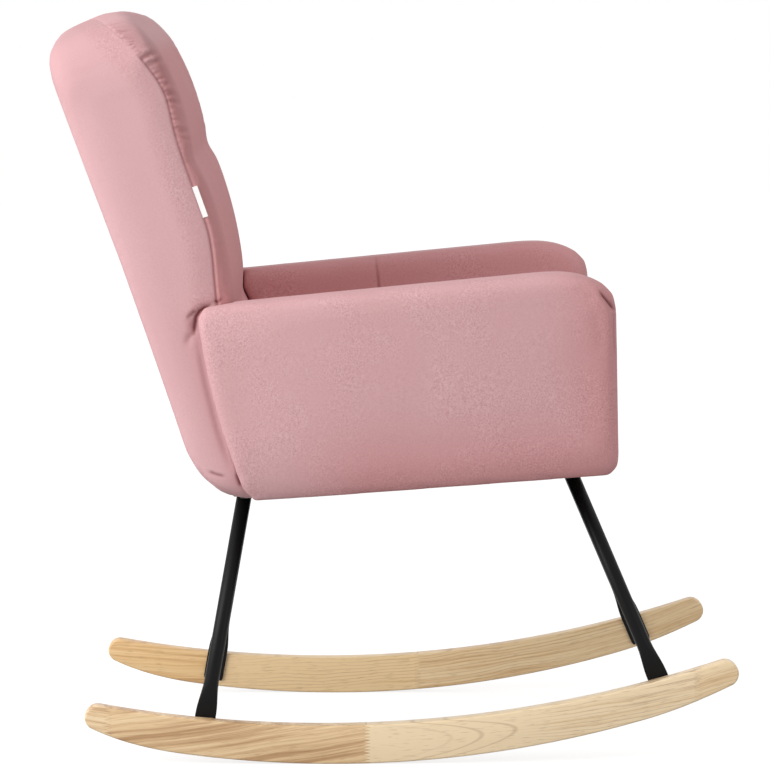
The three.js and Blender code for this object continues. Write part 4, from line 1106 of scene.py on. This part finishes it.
cover_points = points_of(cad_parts["dust_cover"])
cover_front, cover_rear = cover_points[:, 1].min(), cover_points[:, 1].max()
at_front = np.abs(cover_points[:, 1] - cover_front) < 0.003
front_half = np.abs(cover_points[at_front, 0]).max() - STAPLE_INSET
middle = np.abs(cover_points[:, 1] - stand_y) < 0.25
side_half = np.unique(np.abs(cover_points[middle, 0]).round(3))[-2] - STAPLE_INSET
rows = [(front_half * across, cover_front + STAPLE_INSET) for across in (-1, 1)]
rows += [(front_half * across, cover_rear - STAPLE_INSET) for across in (-1, 1)]
for across in (-1, 1):
    rows += [(side_half * across, cover_front + SIDE_ROW_INSET)]
    rows += [(side_half * across, cover_rear - SIDE_ROW_INSET)]
steepness = math.tan(SEAT_TILT)
cover_level = (cover_points[:, 2] + cover_points[:, 1] * steepness).min()
path = bpy.data.meshes.new("cover_staples")
corners = [(x, y, cover_level - y * steepness) for x, y in rows]
path.from_pydata(corners, [(0, 1), (2, 3), (4, 5), (6, 7)], [])
staples = bpy.data.objects.new("cover_staples", path)
bpy.context.scene.collection.objects.link(staples)
group, sockets = staple_tree()
shots = staples.modifiers.new("shots", "NODES")
shots.node_group = group
shots[sockets["Spacing"]] = STAPLE_SPACING
shots[sockets["Width"]] = STAPLE_WIDTH
shots[sockets["Wire"]] = STAPLE_WIRE
shots[sockets["Finish"]] = zinc.material
baked(staples)
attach(staples, "root")


# Label: a blank tab of white satin ribbon. It is folded once and caught in the right side seam of the
# back as the covers are sewn together, and it lies towards the front.

LABEL_UP = 0.3615
LABEL_LENGTH = 0.041
LABEL_REACH = 0.0072
LABEL_THICKNESS = 0.0012
LABEL_ANGLE = 0.2
LABEL_BOW = ((0, 0), (0.5, 0.0008), (1, 0.0014))
LABEL_SUNK = 0.001
LABEL_STEPS = 12
RIBS_PER_METRE = 9000

ribbon = Shader("white_ribbon", Base_Color=(0.9, 0.88, 0.86))
ribs = ribbon.maths("SINE", ribbon.axes(ribbon.place())[2] * RIBS_PER_METRE)
ribbon.feed(ribbon.principled, "Roughness", 0.5 + 0.06 * ribs)
ribbon.feed(ribbon.principled, "Normal", ribbon.bump(ribs, 0.00005, 0.3))

ups = LABEL_UP + LABEL_LENGTH * np.linspace(-0.5, 0.5, LABEL_STEPS)
in_seam = seam_forward(ups)
roots = np.outer(ups, back_up) + np.outer(in_seam - LABEL_SUNK, back_forward) + back_foot
roots[:, 0] = LABEL_SUNK - side_reach(ups, in_seam)
outwards = np.array([-1, 0, 0])
lie = back_forward * math.cos(LABEL_ANGLE) + outwards * math.sin(LABEL_ANGLE)
out = outwards * math.cos(LABEL_ANGLE) - back_forward * math.sin(LABEL_ANGLE)
section = list(LABEL_BOW)
section += [(reach, bow + LABEL_THICKNESS) for reach, bow in reversed(LABEL_BOW)]
lines = [roots + lie * reach * LABEL_REACH + out * bow for reach, bow in section]
count = len(section)
faces = []
for k in range(0, (LABEL_STEPS - 1) * count, count):
    for i in range(count):
        j = (i + 1) % count
        faces.append((k + i, k + j, k + count + j, k + count + i))
faces += [tuple(range(count))[::-1], tuple(range((LABEL_STEPS - 1) * count, LABEL_STEPS * count))]
label = new_piece("side_label", np.stack(lines, 1).reshape(-1, 3), faces, ribbon.material, smooth=False)
outward = bmesh.new()
outward.from_mesh(label.data)
bmesh.ops.recalc_face_normals(outward, faces=outward.faces)
outward.to_mesh(label.data)
outward.free()
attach(label, "root")
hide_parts("seam_label")


# Studio: a white floor and backdrop, two large soft lamps towards the rear and a weak one in front.
# The backdrop is white to the camera and in reflections, and weaker as a lamp.

FLOOR_REACH = 12
FLOOR_GLOW = 0.8
BACKDROP_GLOW = 0.7
WHITE = (1.0, 1.0, 1.0)

scene = bpy.context.scene
scene.view_settings.view_transform = "Standard"

paper = Shader("studio_floor", Base_Color=(0.35, 0.35, 0.35), Roughness=0.9, Specular_IOR_Level=0.0)
rays = paper.add("LightPath").outputs
seen = paper.maths("MAXIMUM", rays["Is Camera Ray"], rays["Is Glossy Ray"])
seen = paper.maths("MAXIMUM", seen, rays["Is Transmission Ray"])
paper.feed(paper.principled, "Emission Color", paper.mix(seen, (0.0, 0.0, 0.0), WHITE))
paper.feed(paper.principled, "Emission Strength", FLOOR_GLOW)
corners = [(FLOOR_REACH * x, FLOOR_REACH * y, 0) for x, y in ((-1, -1), (1, -1), (1, 1), (-1, 1))]
floor = new_piece("studio_floor", corners, [(0, 1, 2, 3)], paper.material, smooth=False)

world = bpy.data.worlds.new("studio")
world.use_nodes = True
scene.world = world
world.node_tree.nodes.clear()
backdrop = Tree(world.node_tree)
rays = backdrop.add("LightPath").outputs
sources = {"_0": rays["Is Camera Ray"], "_1": rays["Is Glossy Ray"]}
seen = backdrop.add("Math", {"operation": "MAXIMUM"}, **sources).outputs[0]
glow = backdrop.add("Background", Color=WHITE, Strength=BACKDROP_GLOW).outputs[0]
white = backdrop.add("Background", Color=WHITE, Strength=1.0).outputs[0]
blend = backdrop.add("MixShader", _0=seen, _1=glow, _2=white).outputs[0]
backdrop.add("OutputWorld", Surface=blend)


def lamp(name, place, target, size, watts):
    light = bpy.data.lights.new(name, "AREA")
    light.shape = "SQUARE"
    light.size = size
    light.energy = watts
    holder = bpy.data.objects.new(name, light)
    holder.location = place
    holder.rotation_euler = (Vector(target) - Vector(place)).to_track_quat("-Z", "Y").to_euler()
    scene.collection.objects.link(holder)


lamp("key_softbox", (-2.1, 2.3, 1.6), (0, 0.1, 0.6), 1.4, 43)
lamp("rear_softbox", (-1.0, 3.4, 1.6), (0, 0.1, 0.5), 1.6, 42)
lamp("front_softbox", (-2.3, -2.6, 0.9), (0, -0.1, 0.4), 1.4, 10)


# Camera: a long lens at the chair's right side, a metre over the floor, looking down a little. It is
# placed as fitted to the photograph.

CAMERA_AWAY = 5.1425
CAMERA_AHEAD = 0.0159
CAMERA_HEIGHT = 1.0088
PITCH = 0.10541
YAW = -0.00992

ahead = Vector((math.cos(PITCH) * math.cos(YAW), math.cos(PITCH) * math.sin(YAW), -math.sin(PITCH)))
right = Vector((math.sin(YAW), -math.cos(YAW), 0))
lens = bpy.data.cameras.new("photo_camera")
lens.sensor_width = 36
lens.lens = 179.6
camera = bpy.data.objects.new("photo_camera", lens)
facing = Matrix((right, right.cross(ahead), -ahead)).transposed().to_4x4()
stand = Matrix.Translation((-CAMERA_AWAY, stand_y - CAMERA_AHEAD, CAMERA_HEIGHT))
camera.matrix_world = stand @ facing
scene.collection.objects.link(camera)
scene.camera = camera
